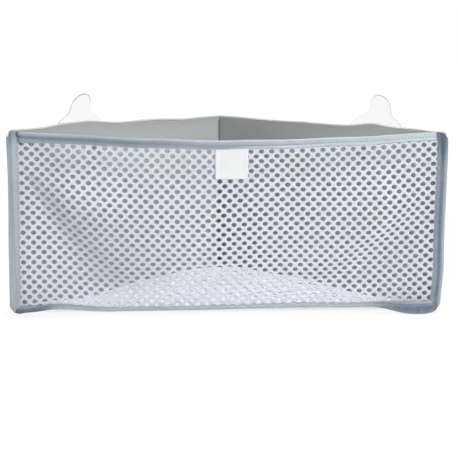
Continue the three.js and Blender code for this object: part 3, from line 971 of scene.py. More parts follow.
def grown(name, tree, values, make, used=()):
    """The plain mesh that a geometry tree makes from its inputs."""
    carrier = placed(name + "_carrier", bpy.data.meshes.new(name + "_carrier"), make)
    modifier = carrier.modifiers.new("grown", "NODES")
    modifier.node_group = tree
    sockets = {item.name: item.identifier for item in tree.interface.items_tree if item.in_out == "INPUT"}
    for label, value in values.items():
        modifier[sockets[label]] = value
    graph = bpy.context.evaluated_depsgraph_get()
    mesh = bpy.data.meshes.new_from_object(carrier.evaluated_get(graph))
    for helper in (carrier, *used):
        bpy.data.objects.remove(helper)
    if not len(mesh.polygons):
        raise RuntimeError(f"{name} came out empty")
    return placed(name, mesh, make)


def sealed(piece):
    """Walls along the cut edges of a net, between its two faces."""
    work = bmesh.new()
    work.from_mesh(piece.data)
    layer = work.loops.layers.uv["UVMap"]
    loops = [loop for face in work.faces for loop in face.loops]
    spots = {loop.vert: tuple(round(part, 5) for part in loop[layer].uv) for loop in loops}
    pairs = {}
    for edge in [edge for edge in work.edges if edge.is_boundary]:
        pairs.setdefault(frozenset(spots[vert] for vert in edge.verts), []).append(edge)
    for first, second in pairs.values():
        a, b = first.verts
        c, d = sorted(second.verts, key=lambda vert: spots[vert] != spots[b])
        wall = work.faces.new((a, b, c, d))
        wall.smooth = True
        for loop in wall.loops:
            loop[layer].uv = spots[loop.vert]
    bmesh.ops.recalc_face_normals(work, faces=work.faces)
    work.to_mesh(piece.data)
    work.free()


def knitted(name, tree, drape, counts, pitches, slant=UNCUT, side=0.0, limit=UNCUT):
    """A net of cells on a drape, cut to its outline and closed along the cuts."""
    cell = net_cell(*pitches)
    values = {"Drape": drape, "Cell": cell, "Columns": counts[0], "Rows": counts[1]}
    values |= {"Pitch across": pitches[0], "Pitch up": pitches[1]}
    values |= {"Width": counts[0] * pitches[0], "Height": counts[1] * pitches[1]}
    values |= {"Slant reach": slant, "Side": side, "Limit": limit, "Finish": finish_of(knitted_net)}
    piece = grown(name, tree, values, knitted_net, (drape, cell))
    sealed(piece)
    return piece


class FrontNetMaker(bpy.types.Operator):
    """Knit the net front and lay it over its folds"""

    bl_idname = "organizer.front_net"
    bl_label = "Front net"

    def execute(self, context):
        b, n = bag(), net()
        pitch = 2.0 * (b.side_mouth + INTO_SIDES) / (n.columns - 1)
        width = n.columns * pitch
        past = 0.5 / (n.rows - 1)
        across = np.linspace(-width / 2, width / 2, FRONT_STEPS[0])
        rise = np.linspace(-past, 1.0 + past, FRONT_STEPS[1])
        drape = drape_sheet("front_drape", across, rise, front_point, fold_shade)
        rows_height = b.top - b.rim_sag - RIM_LAP * b.rim_height - b.foot - b.tape
        up = rows_height / (n.rows - 1)
        piece = knitted("front_net", net_tree(), drape, (n.columns, n.rows), (pitch, up))
        spans(piece, "net", "front_mesh")
        return {"FINISHED"}


class BaseNetMaker(bpy.types.Operator):
    """Knit the net base in two halves, each gathered to its panel as the corner folds"""

    bl_idname = "organizer.base_net"
    bl_label = "Base net"

    def execute(self, context):
        n = net()
        reach = base_reach()
        pitch = reach / (n.base_rows + 0.5)
        rows = n.base_rows + 1
        columns = 2 * n.base_rows + 1
        width, height = columns * pitch, rows * pitch
        across = np.linspace(-width / 2, width / 2, BASE_STEPS[0])
        back = np.linspace(-pitch / 2, height - pitch / 2, BASE_STEPS[1])
        slant = (n.base_rows + 0.75) * pitch
        middle = 0.0001  # the column along the middle goes to the left half
        tree = net_tree()
        for name, side in SIDES.items():
            # painted light over the whole base net, at half strength
            drape = drape_sheet("base_drape", across, back, base_point, lambda x, z: np.full_like(x, -0.5))
            counts, pitches = (columns, rows), (pitch, pitch)
            piece = knitted(name + "_base_net", tree, drape, counts, pitches, slant, -side, -middle * side)
            rides(piece, name + "_side", "net", "base_mesh")
            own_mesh(piece)
            reach * reach / 2
        return {"FINISHED"}


# Bound edges

# The side tape in section, from its mouth round to its back: half thicknesses forward, widths out
SIDE_RIDGE = [(0.5, -1.0), (0.65, -0.97), (0.8, -0.88), (1.5, -0.74), (2.45, -0.56), (2.6, -0.49)]
SIDE_ROUND = [(2.45, -0.42), (1.7, -0.23), (0.9, -0.08), (0.1, -0.01), (-0.5, 0.0), (-1.0, -0.02)]
SIDE_BACK = [(-1.35, -0.09), (-1.45, -0.24), (-1.3, -0.5), (-1.1, -0.8), (-0.9, -1.0)]

# The bag's lower front corners, left and right
BULK_START = (0.137, 0.123)  # where the foot tape grows bulky, from the middle of the bag
BULK_RUN = 0.035  # over which it does
BULK = (0.0035, 0.0060)  # how much wider it is in the corner
FOOT_PAST = (0.0030, -0.0014)  # how far it runs into the side tape
LIP_DRAWN = (0.0036, -0.0010)  # how far its underside is drawn in
LIP_FADING = (0.75, 0.30)  # share of the underside's painted shade that is lost towards the ground
SIDE_FOOT = (0.0022, 0.0012)  # height of the side tape's lower end
SIDE_FLARE = (0.0008, -0.0027)  # how far the side tape stands out at that end
SIDE_ROUNDING = (0.0018, 0.0055)  # rounding of its outer corner there
SIDE_FORWARD = (0.0035, 0.0060)  # how far its mouth stands forward there


def folded(width, thick, crown):
    """Folded tape in section: its fold at the origin, its mouth at -width, a dip along the seam."""
    half = thick / 2
    face = [(0.82 * half, -width), (half, -0.95 * width), (0.9 * half, -0.82 * width)]
    face += [(half + stand * crown, -up * width) for stand, up in ((0.6, 0.66), (1.0, 0.45), (0.7, 0.28))]
    steps = 5
    for k in range(steps):
        turn = math.pi / 2 * k / steps
        face.append((half * math.cos(turn), -half * (1.0 - math.sin(turn))))
    mirrored = [(-across, up) for across, up in reversed(face)]
    return np.array(face + [(0.0, 0.0)] + mirrored)


def rim_groove(share):
    """Depth of the rim's sewn groove at a share of its length, counted from the left end."""
    return 0.0009 * faded(0.45, 0.85, share)


def rim_section(share):
    """The rim tape in section: its face dips at the seam and flares below it, most on the left."""
    half, width = bag().tape / 2, bag().rim_height * (1.18 - 0.18 * eased(0.0, 0.08, share))
    groove = rim_groove(share)
    swell = 0.0003 + 0.9 * groove
    shoulder = 0.22 * width
    flare = [(0.7 * swell, 1.0), (swell, 0.95), (0.3 * swell, 0.82)]
    dip = [(-groove, 0.64), (-0.7 * groove, 0.54), (0.6 * swell, 0.34)]
    face = [(half + stand, -up * width) for stand, up in flare + dip]
    steps = 6
    for k in range(steps):
        turn = math.pi / 2 * k / steps
        face.append(((half + swell) * math.cos(turn), -shoulder * (1.0 - math.sin(turn))))
    fold = [(-half * math.sin(turn), -shoulder * (1.0 - math.cos(turn))) for turn in np.radians([30.0, 60.0])]
    back = [(-half, -shoulder), (-half, -0.5 * width), (-0.94 * half, -0.66 * width)]
    back += [(-half, -0.9 * width), (-0.85 * half, -width)]
    return np.array(face + [(0.0, 0.0)] + fold + back)


def rim_crease(section, share):
    """Painted shade on the rim's face below its fold, most on the left, less on its lower edge and more at
    both ends; painted light on its right part.
    """
    down = -section[:, 1] / bag().rim_height
    below = eased(0.22, 0.40, down) - 1.5 * eased(0.62, 0.80, down)
    front = eased(0.0, 0.3, section[:, 0] / bag().tape)
    left = faded(0.15, 0.62, share)
    ends = 0.5 * eased(0.985, 1.0, np.abs(2.0 * share - 1.0))
    return (0.40 + 0.27 * below) * front * left - 0.12 * eased(0.45, 0.7, share) * front + ends


def rim_stations():
    """Places along the rim's fold, which rolls forward on the left and back on the right."""
    b = bag()
    reach = b.side_mouth - 0.0003
    x = np.linspace(-reach, reach, RIM_STEPS)
    roll = np.radians(5.0 + 21.0 * np.sin(x / b.side_mouth * 1.4) + 3.0 * np.sin(x / 0.023))
    across = np.stack([0 * x, -np.cos(roll), np.sin(roll)], axis=-1)
    up = np.stack([0 * x, np.sin(roll), np.cos(roll)], axis=-1)
    held = 0.8 * b.rim_height
    z = rim_line(x) + 0.00025 * np.sin(x / 0.011) - held * np.cos(roll)
    origins = np.stack([x, b.front_line - slack(x, z), z], axis=-1) + held * up
    return origins, across, up


def corner_share(x):
    """0 along the foot, 1 at the front corners, where its tape is bulky."""
    start = of_side(x, *BULK_START)
    return eased(start, start + BULK_RUN, np.abs(x))


def foot_widths(x):
    """Width of the foot tape, more in the corners."""
    return bag().foot_width + of_side(x, *BULK) * corner_share(x)


def foot_fold(x):
    """Stations of the foot tape's folded edge."""
    droop = np.radians(6.0 + 5.0 * np.sin(x / 0.037) + 3.0 * corner_share(x))
    up = np.stack([0 * x, -np.cos(droop), -np.sin(droop)], axis=-1)
    across = np.stack([0 * x, -np.sin(droop), np.cos(droop)], axis=-1)
    mouth = np.stack([x, base_front(x) + 0.003, foot_height(x) + 0.0004], axis=-1)
    return mouth + up * foot_widths(x)[:, None], across, up


def foot_end(side):
    """Where the foot tape ends, at the side tape."""
    return bag().side_mouth + of_side(side, *FOOT_PAST)


def foot_stations():
    """Places along the whole foot tape."""
    return foot_fold(np.linspace(-foot_end(-1.0), foot_end(1.0), FOOT_STEPS))


def foot_crease(section, x):
    """Painted shade on the foot tape towards its gathered left corner and under both corners, and painted
    light towards its fold between them.
    """
    low = eased(0.45, 0.85, 1.0 + section[:, 1] / bag().foot_width)
    if x < 0.0:
        corner = 0.9 * eased(0.144, 0.162, -x) * (0.4 + 0.6 * low)
        return corner - 0.12 * low * faded(0.135, 0.150, -x)
    corner = 0.7 * eased(0.115, 0.150, x) * eased(0.1, 0.6, low)
    return corner - 0.24 * low * faded(0.110, 0.125, x)


def lip_foot(side, reach):
    """Height of the lower edge of the bulky corner."""
    if side < 0:
        return 0.0078 - 0.0034 * eased(0.136, 0.170, reach)
    return 0.0052 - 0.0050 * eased(0.122, 0.160, reach) + 0.0020 * eased(0.166, 0.181, reach)


def lip_sections(side):
    """Underside of the foot tape where it is bulky, drawn in below its fold, with painted shade on it."""
    reach = np.linspace(of_side(side, *BULK_START), foot_end(side), LIP_STEPS)
    x = side * reach
    top = foot_fold(x)[0] + np.array([0.0, 0.0010, 0.0])
    drawn = of_side(side, *LIP_DRAWN) * corner_share(x)
    foot = np.stack([x, top[:, 1] + 0.0005 + drawn, lip_foot(side, reach)], axis=-1)
    foot[:, 2] = np.minimum(foot[:, 2], top[:, 2] - 0.0006)
    down = foot - top
    deep = np.linalg.norm(down, axis=1)
    up = down / deep[:, None]
    across = np.stack([0 * x, up[:, 2], -up[:, 1]], axis=-1)
    sections = [folded(depth, 0.0014, 0.0001) for depth in deep]
    # painted shade, deepest at the top under the fold
    most = 0.85 * (0.55 + 0.45 * corner_share(x))
    fading = of_side(side, *LIP_FADING)
    dark = []
    for section, depth, level in zip(sections, deep, most):
        dark.append(level * (1.0 - fading * eased(0.35, 1.0, 1.0 + section[:, 1] / depth)))
    return sections, foot, across, up, dark


def side_section():
    """Side tape in section: the flat inner half faces forward, the outer half rounds away."""
    shape = np.array(SIDE_RIDGE + SIDE_ROUND + SIDE_BACK)
    return shape * (bag().tape / 2, bag().side_edge - bag().side_mouth)


def side_stations(side):
    """Places up the outer edge of a side tape."""
    b = bag()
    z = np.linspace(of_side(side, *SIDE_FOOT), b.top, SIDE_STEPS)
    flare = of_side(side, *SIDE_FLARE) * faded(0.0, 0.045, z)
    sway = 0.0004 * np.sin(z / 0.019 + side) + flare
    origins = np.stack([side * (b.side_edge + sway), np.full_like(z, b.front_line), z], axis=-1)
    across = np.tile([0.0, -1.0, 0.0], (len(z), 1))
    up = np.tile([side, 0.0, 0.0], (len(z), 1))
    return origins, across, up


def side_crease(side, inward, share):
    """Painted shade on a side tape's face: a valley along it, and its edge towards the net."""
    if side < 0:
        valley = hump(inward, 0.66 - 0.26 * eased(0.05, 0.7, share), 0.14)
        return 0.32 * valley + 0.12 * eased(0.9, 1.0, inward)
    valley = hump(inward, 0.54, np.where(inward < 0.54, 0.28, 0.20))
    return 0.10 + 0.70 * valley + 0.15 * eased(0.7, 0.95, inward)


def top_crease(side, share):
    """Painted shade on a side tape at its upper end."""
    return 0.35 * eased(0.90, 0.99, share) if side < 0 else 0.45 * eased(0.80, 0.97, share)


def side_tape(side):
    """The side tape with its outer corners rounded."""
    b = bag()
    origins, across, up = side_stations(side)
    section = side_section()
    inward = -section[:, 1] / (b.side_edge - b.side_mouth)
    outward = 1.0 - inward
    corner = np.clip(1.0 + section[:, 1] / 0.008, 0.0, 1.0) ** 2.2
    rise = 0.0004 + of_side(side, b.left_corner_rise, b.right_corner_rise)
    rounding = of_side(side, *SIDE_ROUNDING)
    forward = of_side(side, *SIDE_FORWARD)
    front = eased(0.0, 0.5, section[:, 0] / (b.tape / 2))
    rings, dark = [], []
    for origin, right, high in zip(origins, across, up):
        share = (origin[2] - origins[0, 2]) / (b.top - origins[0, 2])
        ring = origin + section[:, :1] * right + section[:, 1:] * high
        ring[:, 2] += rise * eased(0.5, 1.0, share) - 0.0060 * corner * eased(0.8, 1.0, share)
        ring[:, 0] -= side * rounding * outward**2 * faded(0.0, 0.03, share) ** 2
        ring[:, 1] -= forward * (1.0 - 0.8 * outward) * faded(0.0, 0.09, share)
        ring[:, 2] += 0.0026 * outward**2 * faded(0.0, 0.06, share)
        rings.append(ring)
        # painted shade on the face and the upper end
        dark.append(front * side_crease(side, inward, share) + top_crease(side, share))
    shell = Shell()
    shell.tube(rings, lengths_along(origins), lengths_round(section), dark)
    return shell


def panel_point(side, along, out, z):
    """A point by its place along a back panel, out towards the wall, and its height."""
    x = side * (along + out) / ROOT2
    return np.stack(np.broadcast_arrays(x, CORNER_Y + (out - along) / ROOT2, z), axis=-1)


def base_stations(side):
    """Places along the outer edge of a base tape."""
    b = bag()
    inside = 0.0011
    along = np.linspace(-0.006, b.panel - 0.001, BASE_TAPE_STEPS)
    start = np.maximum(along, 0.0004 - (b.base_tape - inside))
    out = b.base_tape - inside + 0.0004 * np.sin(along / 0.015)
    z = b.tape / 2 + 0.0003 * (1.0 + np.sin(along / 0.021))
    origins = panel_point(side, start, out, z)
    up = np.tile([side / ROOT2, 1.0 / ROOT2, 0.0], (len(along), 1))
    across = np.tile([0.0, 0.0, 1.0], (len(along), 1))
    return origins, across, up


class EdgeMaker(bpy.types.Operator):
    """Sew the folded tapes round the rim, the foot, the sides, the base and the corner"""

    bl_idname = "organizer.bound_edges"
    bl_label = "Bound edges"

    def execute(self, context):
        b = bag()
        shell = Shell()
        origins, across, up = rim_stations()
        shares = np.linspace(0.0, 1.0, len(origins))
        sections = [rim_section(share) for share in shares]
        dark = [rim_crease(section, share) for section, share in zip(sections, shares)]
        swept(shell, sections, origins, across, up, dark)
        spans(shell.made("rim_tape", binding_tape), "tape", "front_rim_binding")
        shell = Shell()
        origins, across, up = foot_stations()
        sections = [folded(width, b.foot_tape, 0.0004) for width in foot_widths(origins[:, 0])]
        dark = [foot_crease(section, x) for section, x in zip(sections, origins[:, 0])]
        swept(shell, sections, origins, across, up, dark)
        for side in SIDES.values():
            swept(shell, *lip_sections(side))
        spans(shell.made("foot_tape", binding_tape), "tape", "front_base_binding")
        for name, side in SIDES.items():
            piece = side_tape(side).made(name + "_side_tape", binding_tape)
            rides(piece, name + "_side", "tape", name + "_side_binding")
            shell = Shell()
            origins, across, up = base_stations(side)
            swept(shell, [folded(b.base_tape, b.tape, 0.0003)] * len(origins), origins, across, up)
            piece = shell.made(name + "_base_tape", binding_tape)
            rides(piece, name + "_side", "tape", name + "_base_binding")
        self.corner_tape()
        return {"FINISHED"}

    def corner_tape(self):
        """The tape over the corner seam, bent round it."""
        b = bag()
        inner = b.panel_thickness + CORNER_GAP
        leg, bend = 0.012, 0.0016
        reach = np.linspace(leg, bend, 9)
        right_run = [((a + inner) / ROOT2, (inner - a) / ROOT2) for a in reach]
        centre = (inner - bend) * ROOT2
        arc = [(bend * math.sin(a), centre + bend * math.cos(a)) for a in np.radians(np.linspace(36, -36, 9))]
        line = np.array(right_run + arc + [(-x, y) for x, y in reversed(right_run)])
        tangent = np.gradient(line, axis=0)
        tangent /= np.linalg.norm(tangent, axis=1)[:, None]
        normal = np.stack([tangent[:, 1], -tangent[:, 0]], axis=-1)
        normal *= np.sign(normal[:, 1])[:, None]
        z = np.linspace(b.foot, b.top - b.hem - CORNER_GAP, CORNER_STEPS)
        wave = 0.00015 * (1.0 + np.sin(z / 0.009))
        layers = []
        for depth in (CLOTH, 0.0):
            spots = line[:, None, :] + normal[:, None, :] * (depth + wave[None, :, None])
            high = np.broadcast_to(z, spots.shape[:2])
            layers.append(np.stack([spots[..., 0], CORNER_Y + spots[..., 1], high], axis=-1))
        along = lengths_along(line)
        flat = np.stack(np.meshgrid(along, z, indexing="ij")[::-1], axis=-1)
        shell = Shell()
        shell.slab(layers[0], layers[1], flat)
        piece = shell.made("corner_tape", binding_tape)
        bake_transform(piece)
        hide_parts("corner_binding")


# Panels

EYELET_HOLE = 0.0068  # radius of the hole in a panel's cloth
RING_REACH = 0.010  # how far the finer cells round the hole go
TRIMMED = 0.0022  # how much shorter the right panel's cloths are at the foot


def hub_along(side):
    """Distance of a cup's axis from the corner."""
    return abs(HUBS["left_cup_swivel" if side < 0 else "right_cup_swivel"][0]) * ROOT2


def hem_rise(side, along):
    """Rise of a panel's top edge, in steps along it and in humps near its cup."""
    b = bag()
    if side < 0:
        steps = [(b.left_corner_rise, 0.04, 0.09), (0.0013, 0.18, 0.22)]
        humps = [(b.left_hem_rise, 0.004, 0.026), (0.0014, 0.032, 0.014)]
    else:
        steps = [(b.right_corner_rise, 0.19, 0.25), (0.0008, 0.11, 0.15)]
        humps = [(0.7 * b.right_hem_rise, 0.012, 0.028), (0.35 * b.right_hem_rise, 0.004, 0.011)]
        humps += [(0.0011, 0.049, 0.014), (0.0006, -0.065, 0.020)]
    past = along - hub_along(side)
    rise = sum(height * eased(start, end, along) for height, start, end in steps)
    return rise + sum(height * hump(past, middle, width) for height, middle, width in humps)


def puffed(side, along, z):
    """How far the cloth stands off the board, nothing at its edges and round the eyelet."""
    b = bag()
    rise = (z - b.foot) / (b.top - b.foot)
    ends = eased(0.04, 0.11, along) * eased(0.0, 0.03, b.panel - along)
    edge = ends * eased(0.0, 0.2, rise) * eased(0.05, 0.2, 1.0 - rise)
    apart = np.hypot(along - hub_along(side), z - HUB_HEIGHT)
    wave = 0.55 + 0.3 * np.sin(along / 0.031 + side) * np.cos(z / 0.04) + 0.15 * np.sin((along + z) / 0.012)
    return b.puff * wave * edge * eased(0.012, 0.05, apart)


def panel_shade(side, along, z):
    """Painted shade on the cloth inside the bag, most as a painted shadow in the corner on the right, and
    painted light on the right panel's top.
    """
    if side < 0:
        return 0.18 * faded(0.10, 0.135, z)
    corner = 0.32 * faded(-0.012, 0.014, along - np.minimum(1.16 * (0.110 - z), 0.060))
    corner = corner + 0.30 * faded(0.005, 0.018, along)
    return corner * faded(0.105, 0.125, z) - 0.5 * eased(0.05, 0.22, along) * eased(0.11, 0.13, z)


def with_ring(places, middle):
    """Places in order, with finer ones round the middle of the hole."""
    ring = middle + np.linspace(-RING_REACH, RING_REACH, HOLE_STEPS)
    return np.unique(np.round(np.concatenate([places, ring]), 6))


def panel_sheet(side, face, outward, make, name):
    """One cloth of a panel with mitred ends and a hole for the eyelet; outward is -1 on the bag side."""
    b = bag()
    hub = hub_along(side)
    low, high = b.foot, b.top - 0.0012
    along = with_ring(np.linspace(0.0, b.panel, PANEL_STEPS[0]), hub)
    z = with_ring(np.linspace(low, high, PANEL_STEPS[1]), HUB_HEIGHT)
    s, height = np.meshgrid(along, z, indexing="ij")
    share = eased(0.6, 1.0, (height - low) / (high - low))
    lifted = height + share * hem_rise(side, s)
    off = puffed(side, s, height) * outward
    grids = []
    for out in (face, face + CLOTH):
        start, end = CORNER_GAP * ROOT2 - out, b.panel + out
        end = end - of_side(side, 0.0, TRIMMED) * faded(low, 0.045, height)
        mitred = start + (end - start) * s / b.panel
        mitred = s + (mitred - s) * eased(0.03, 0.07, np.abs(s - hub))
        grids.append(panel_point(side, mitred, out + off, lifted))
    middle_s = (s[:-1, :-1] + s[1:, 1:]) / 2
    middle_z = (height[:-1, :-1] + height[1:, 1:]) / 2
    keep = np.hypot(middle_s - hub, middle_z - HUB_HEIGHT) > EYELET_HOLE
    shell = Shell()
    # painted shade only on the bag side
    dark = panel_shade(side, s, height) * (outward < 0.0)
    shell.slab(grids[0], grids[1], np.stack([s, height], axis=-1), keep, dark)
    return shell.made(name, make)


def hem_stations(side):
    """Places along a panel's turned edge."""
    b = bag()
    along = np.linspace(0.0, b.panel, HEM_STEPS)
    out = b.panel_thickness / 2
    place = np.linspace(CORNER_GAP * ROOT2 - out, b.panel + out, HEM_STEPS)
    z = b.top + hem_rise(side, along) + 0.0002 * np.sin(along / 0.013)
    origins = panel_point(side, place, out, z)
    across = np.tile([-side / ROOT2, -1.0 / ROOT2, 0.0], (len(along), 1))
    up = np.tile([0.0, 0.0, 1.0], (len(along), 1))
    return origins, across, up


class PanelMaker(bpy.types.Operator):
    """Cover the stiffened back panels and turn their top edges"""

    bl_idname = "organizer.panels"
    bl_label = "Back panels"

    def execute(self, context):
        b = bag()
        for name, side in SIDES.items():
            body = name + "_side"
            lining = panel_sheet(side, 0.0, -1.0, lining_cloth, name + "_panel_lining")
            rides(lining, body, "lining", name + "_lining")
            cover = panel_sheet(side, b.panel_thickness - CLOTH, 1.0, panel_cloth, name + "_panel_cover")
            rides(cover, body, "cover", name + "_wall_cover")
            shell = Shell()
            origins, across, up = hem_stations(side)
            section = folded(b.hem, b.panel_thickness + b.hem_stand, 0.0)
            # the hems take the panels' painted light at their top
            shade_depths = panel_shade(side, np.linspace(0.0, b.panel, len(origins)), b.top)
            dark = np.repeat(shade_depths * np.ones(len(origins)), len(section))
            swept(shell, [section] * len(origins), origins, across, up, dark)
            rides(shell.made(name + "_hem", panel_cloth), body, "cover", name + "_top_hem")
            board = frame["nodes"][name + "_stiffener"]
            board.data.materials.clear()
            board.data.materials.append(finish_of(fibre_board))
        return {"FINISHED"}


# Patch, eyelets and cups

PATCH_HALF = 0.0126  # half the patch's height
PATCH_CORNER = 0.0006  # radius of its corners
UNDER_RIM = 0.0006  # how far it runs up under the rim tape
CLOUD = 0.8  # depth of the haze in a cup's thick middle, dark enough to stand as painted shade where it is seen through the eyelet's bore
CLOUD_RADIUS, CLOUD_OUT = 0.009, 0.007  # the haze lies within that radius and past that distance out


class PatchMaker(bpy.types.Operator):
    """Sew the bare patch to the front under the rim"""

    bl_idname = "organizer.patch"
    bl_label = "Patch"

    def outline(self, half, corner):
        """Places on the patch from its middle, its corners rounded, and their shares of its half sizes."""
        edge = [0.85, 0.9, 0.95, 0.985, 1.0]
        steps = [-step for step in reversed(edge)] + list(np.linspace(-0.7, 0.7, 15)) + edge
        share_x, share_z = np.meshgrid(steps, steps, indexing="ij")
        x, z = share_x * half.x, share_z * half.z
        past_x, past_z = np.abs(x) - half.x + corner, np.abs(z) - half.z + corner
        corners = (past_x > 0) & (past_z > 0)
        shrink = np.maximum(past_x, past_z) / np.maximum(np.hypot(past_x, past_z), 1e-9)
        x = np.where(corners, np.sign(x) * (half.x - corner + past_x * shrink), x)
        z = np.where(corners, np.sign(z) * (half.z - corner + past_z * shrink), z)
        return x, z, share_x, share_z

    def execute(self, context):
        middle = (LABEL_LOW + LABEL_HIGH) / 2
        half = (LABEL_HIGH - LABEL_LOW) / 2
        half.z = PATCH_HALF
        middle.z = rim_line(middle.x) - bag().rim_height + UNDER_RIM - half.z
        x, z, share_x, share_z = self.outline(half, PATCH_CORNER)
        edge = np.minimum(half.x - np.abs(x), half.z - np.abs(z))
        thick = 0.0006 + 0.0003 * eased(0.0, 0.0005, edge) - 0.0002 * eased(0.0012, 0.0018, edge)
        place = np.stack([x + middle.x, np.zeros_like(x), z + middle.z], axis=-1)
        back = bag().front_line - slack(place[..., 0], place[..., 2]) - net().strand - 0.0002
        curl = 0.0007 * eased(0.4, 1.0, -share_z) + 0.0003 * share_x**2
        grids = []
        for layer in (thick, 0.0 * thick):
            grid = place.copy()
            grid[..., 1] = back - curl - layer
            grids.append(grid)
        shell = Shell()
        shell.slab(grids[0], grids[1], np.stack([x, z], axis=-1))
        spans(shell.made("bare_patch", soft_patch, sharp=60.0), "label", "label_patch")
        return {"FINISHED"}


def turned(shell, side, profile, steps, reach, bend):
    """A profile of (radius, out, share) turned round the cup's axis.

    Reach gives the cup's outline by angle; a ring is widened to it by its share, and the tab is bent.
    """
    c = cup()
    angles = TURN * np.arange(steps) / steps
    hub = hub_along(side)
    rings = []
    for radius, out, wide in profile:
        radii = radius + wide * (reach(angles) - c.rim)
        past = np.clip((radii - c.rim) / (c.tab_reach - c.rim), 0.0, 1.0)
        along, up = hub + radii * np.sin(angles), HUB_HEIGHT + radii * np.cos(angles)
        rings.append(panel_point(side, along, out - bend * past**1.6, up))
    # painted grey round the rim, for light bent in the vinyl's edge, stronger away from the corner and on the
    # left cup
    outer = (0.2 + 0.8 * eased(-0.30, 0.15, np.sin(angles))) * of_side(side, 1.0, 0.6)
    painted_edge_and_haze = []
    for radius, out, wide in profile:
        painted_edge_and_haze.append(outer * eased(0.94, 1.0, wide) + CLOUD * (radius < CLOUD_RADIUS and out > CLOUD_OUT))
    lengths = lengths_along([(radius, out) for radius, out, _ in profile])
    shell.tube(rings, lengths, np.linspace(0.0, TURN * 0.01, steps + 1), painted_edge_and_haze)


def ring_shell(side, profile, steps=EYELET_STEPS):
    """A closed ring: the profile's end meets its start."""
    angles = TURN * np.arange(steps + 1) / steps
    hub = hub_along(side)
    shell = Shell()
    count = len(profile)
    for turn in angles[:-1]:
        for radius, out in profile:
            along, up = hub + radius * math.sin(turn), HUB_HEIGHT + radius * math.cos(turn)
            shell.points.append(tuple(float(part) for part in panel_point(side, along, out, up)))
    for i in range(steps):
        for k in range(count):
            a, b = i * count, ((i + 1) % steps) * count
            near, far = k, (k + 1) % count
            flat = [(angles[i], k), (angles[i], k + 1), (angles[i + 1], k + 1), (angles[i + 1], k)]
            shell.face((a + near, a + far, b + far, b + near), [(0.006 * u, 0.001 * v) for u, v in flat])
    return shell


class EyeletMaker(bpy.types.Operator):
    """Press the eyelets and their washers through the panels"""

    bl_idname = "organizer.eyelets"
    bl_label = "Eyelets"

    def execute(self, context):
        c = cup()
        back = bag().panel_thickness + c.gap + c.wall
        barrel = c.bore + c.wall
        face = [(c.bore, 0.0), (c.bore + 0.0002, -0.9 * c.wall), (c.bore + 0.0009, -1.35 * c.wall)]
        face += [(c.bore + 0.0020, -1.5 * c.wall), (0.8 * c.flange, -1.1 * c.wall)]
        face += [(c.flange - 0.0003, -0.55 * c.wall), (c.flange, -0.3 * c.wall)]
        face += [(c.flange - 0.0002, -c.gap / 2), (barrel, -c.gap / 2)]
        face += [(barrel, back), (c.bore + 0.0004, back + 0.0002), (c.bore, back)]
        seat = bag().panel_thickness + c.gap
        washer = [(barrel + c.gap, seat), (c.flange - 0.0002, seat), (c.flange, back - 0.45 * c.wall)]
        washer += [(c.flange - 0.0004, back - 0.1 * c.wall), (0.75 * c.flange, back + 0.2 * c.wall)]
        washer += [(barrel + 0.0008, back), (barrel + c.gap, back - 0.3 * c.wall)]
        for name, side in SIDES.items():
            piece = ring_shell(side, face).made(name + "_eyelet_face", plated_eyelet, sharp=40.0)
            rides(piece, name + "_side", "metal", name + "_eyelet")
            piece = ring_shell(side, washer).made(name + "_eyelet_back", plated_eyelet, sharp=40.0)
            rides(piece, name + "_side", "metal", name + "_eyelet_washer")
        return {"FINISHED"}


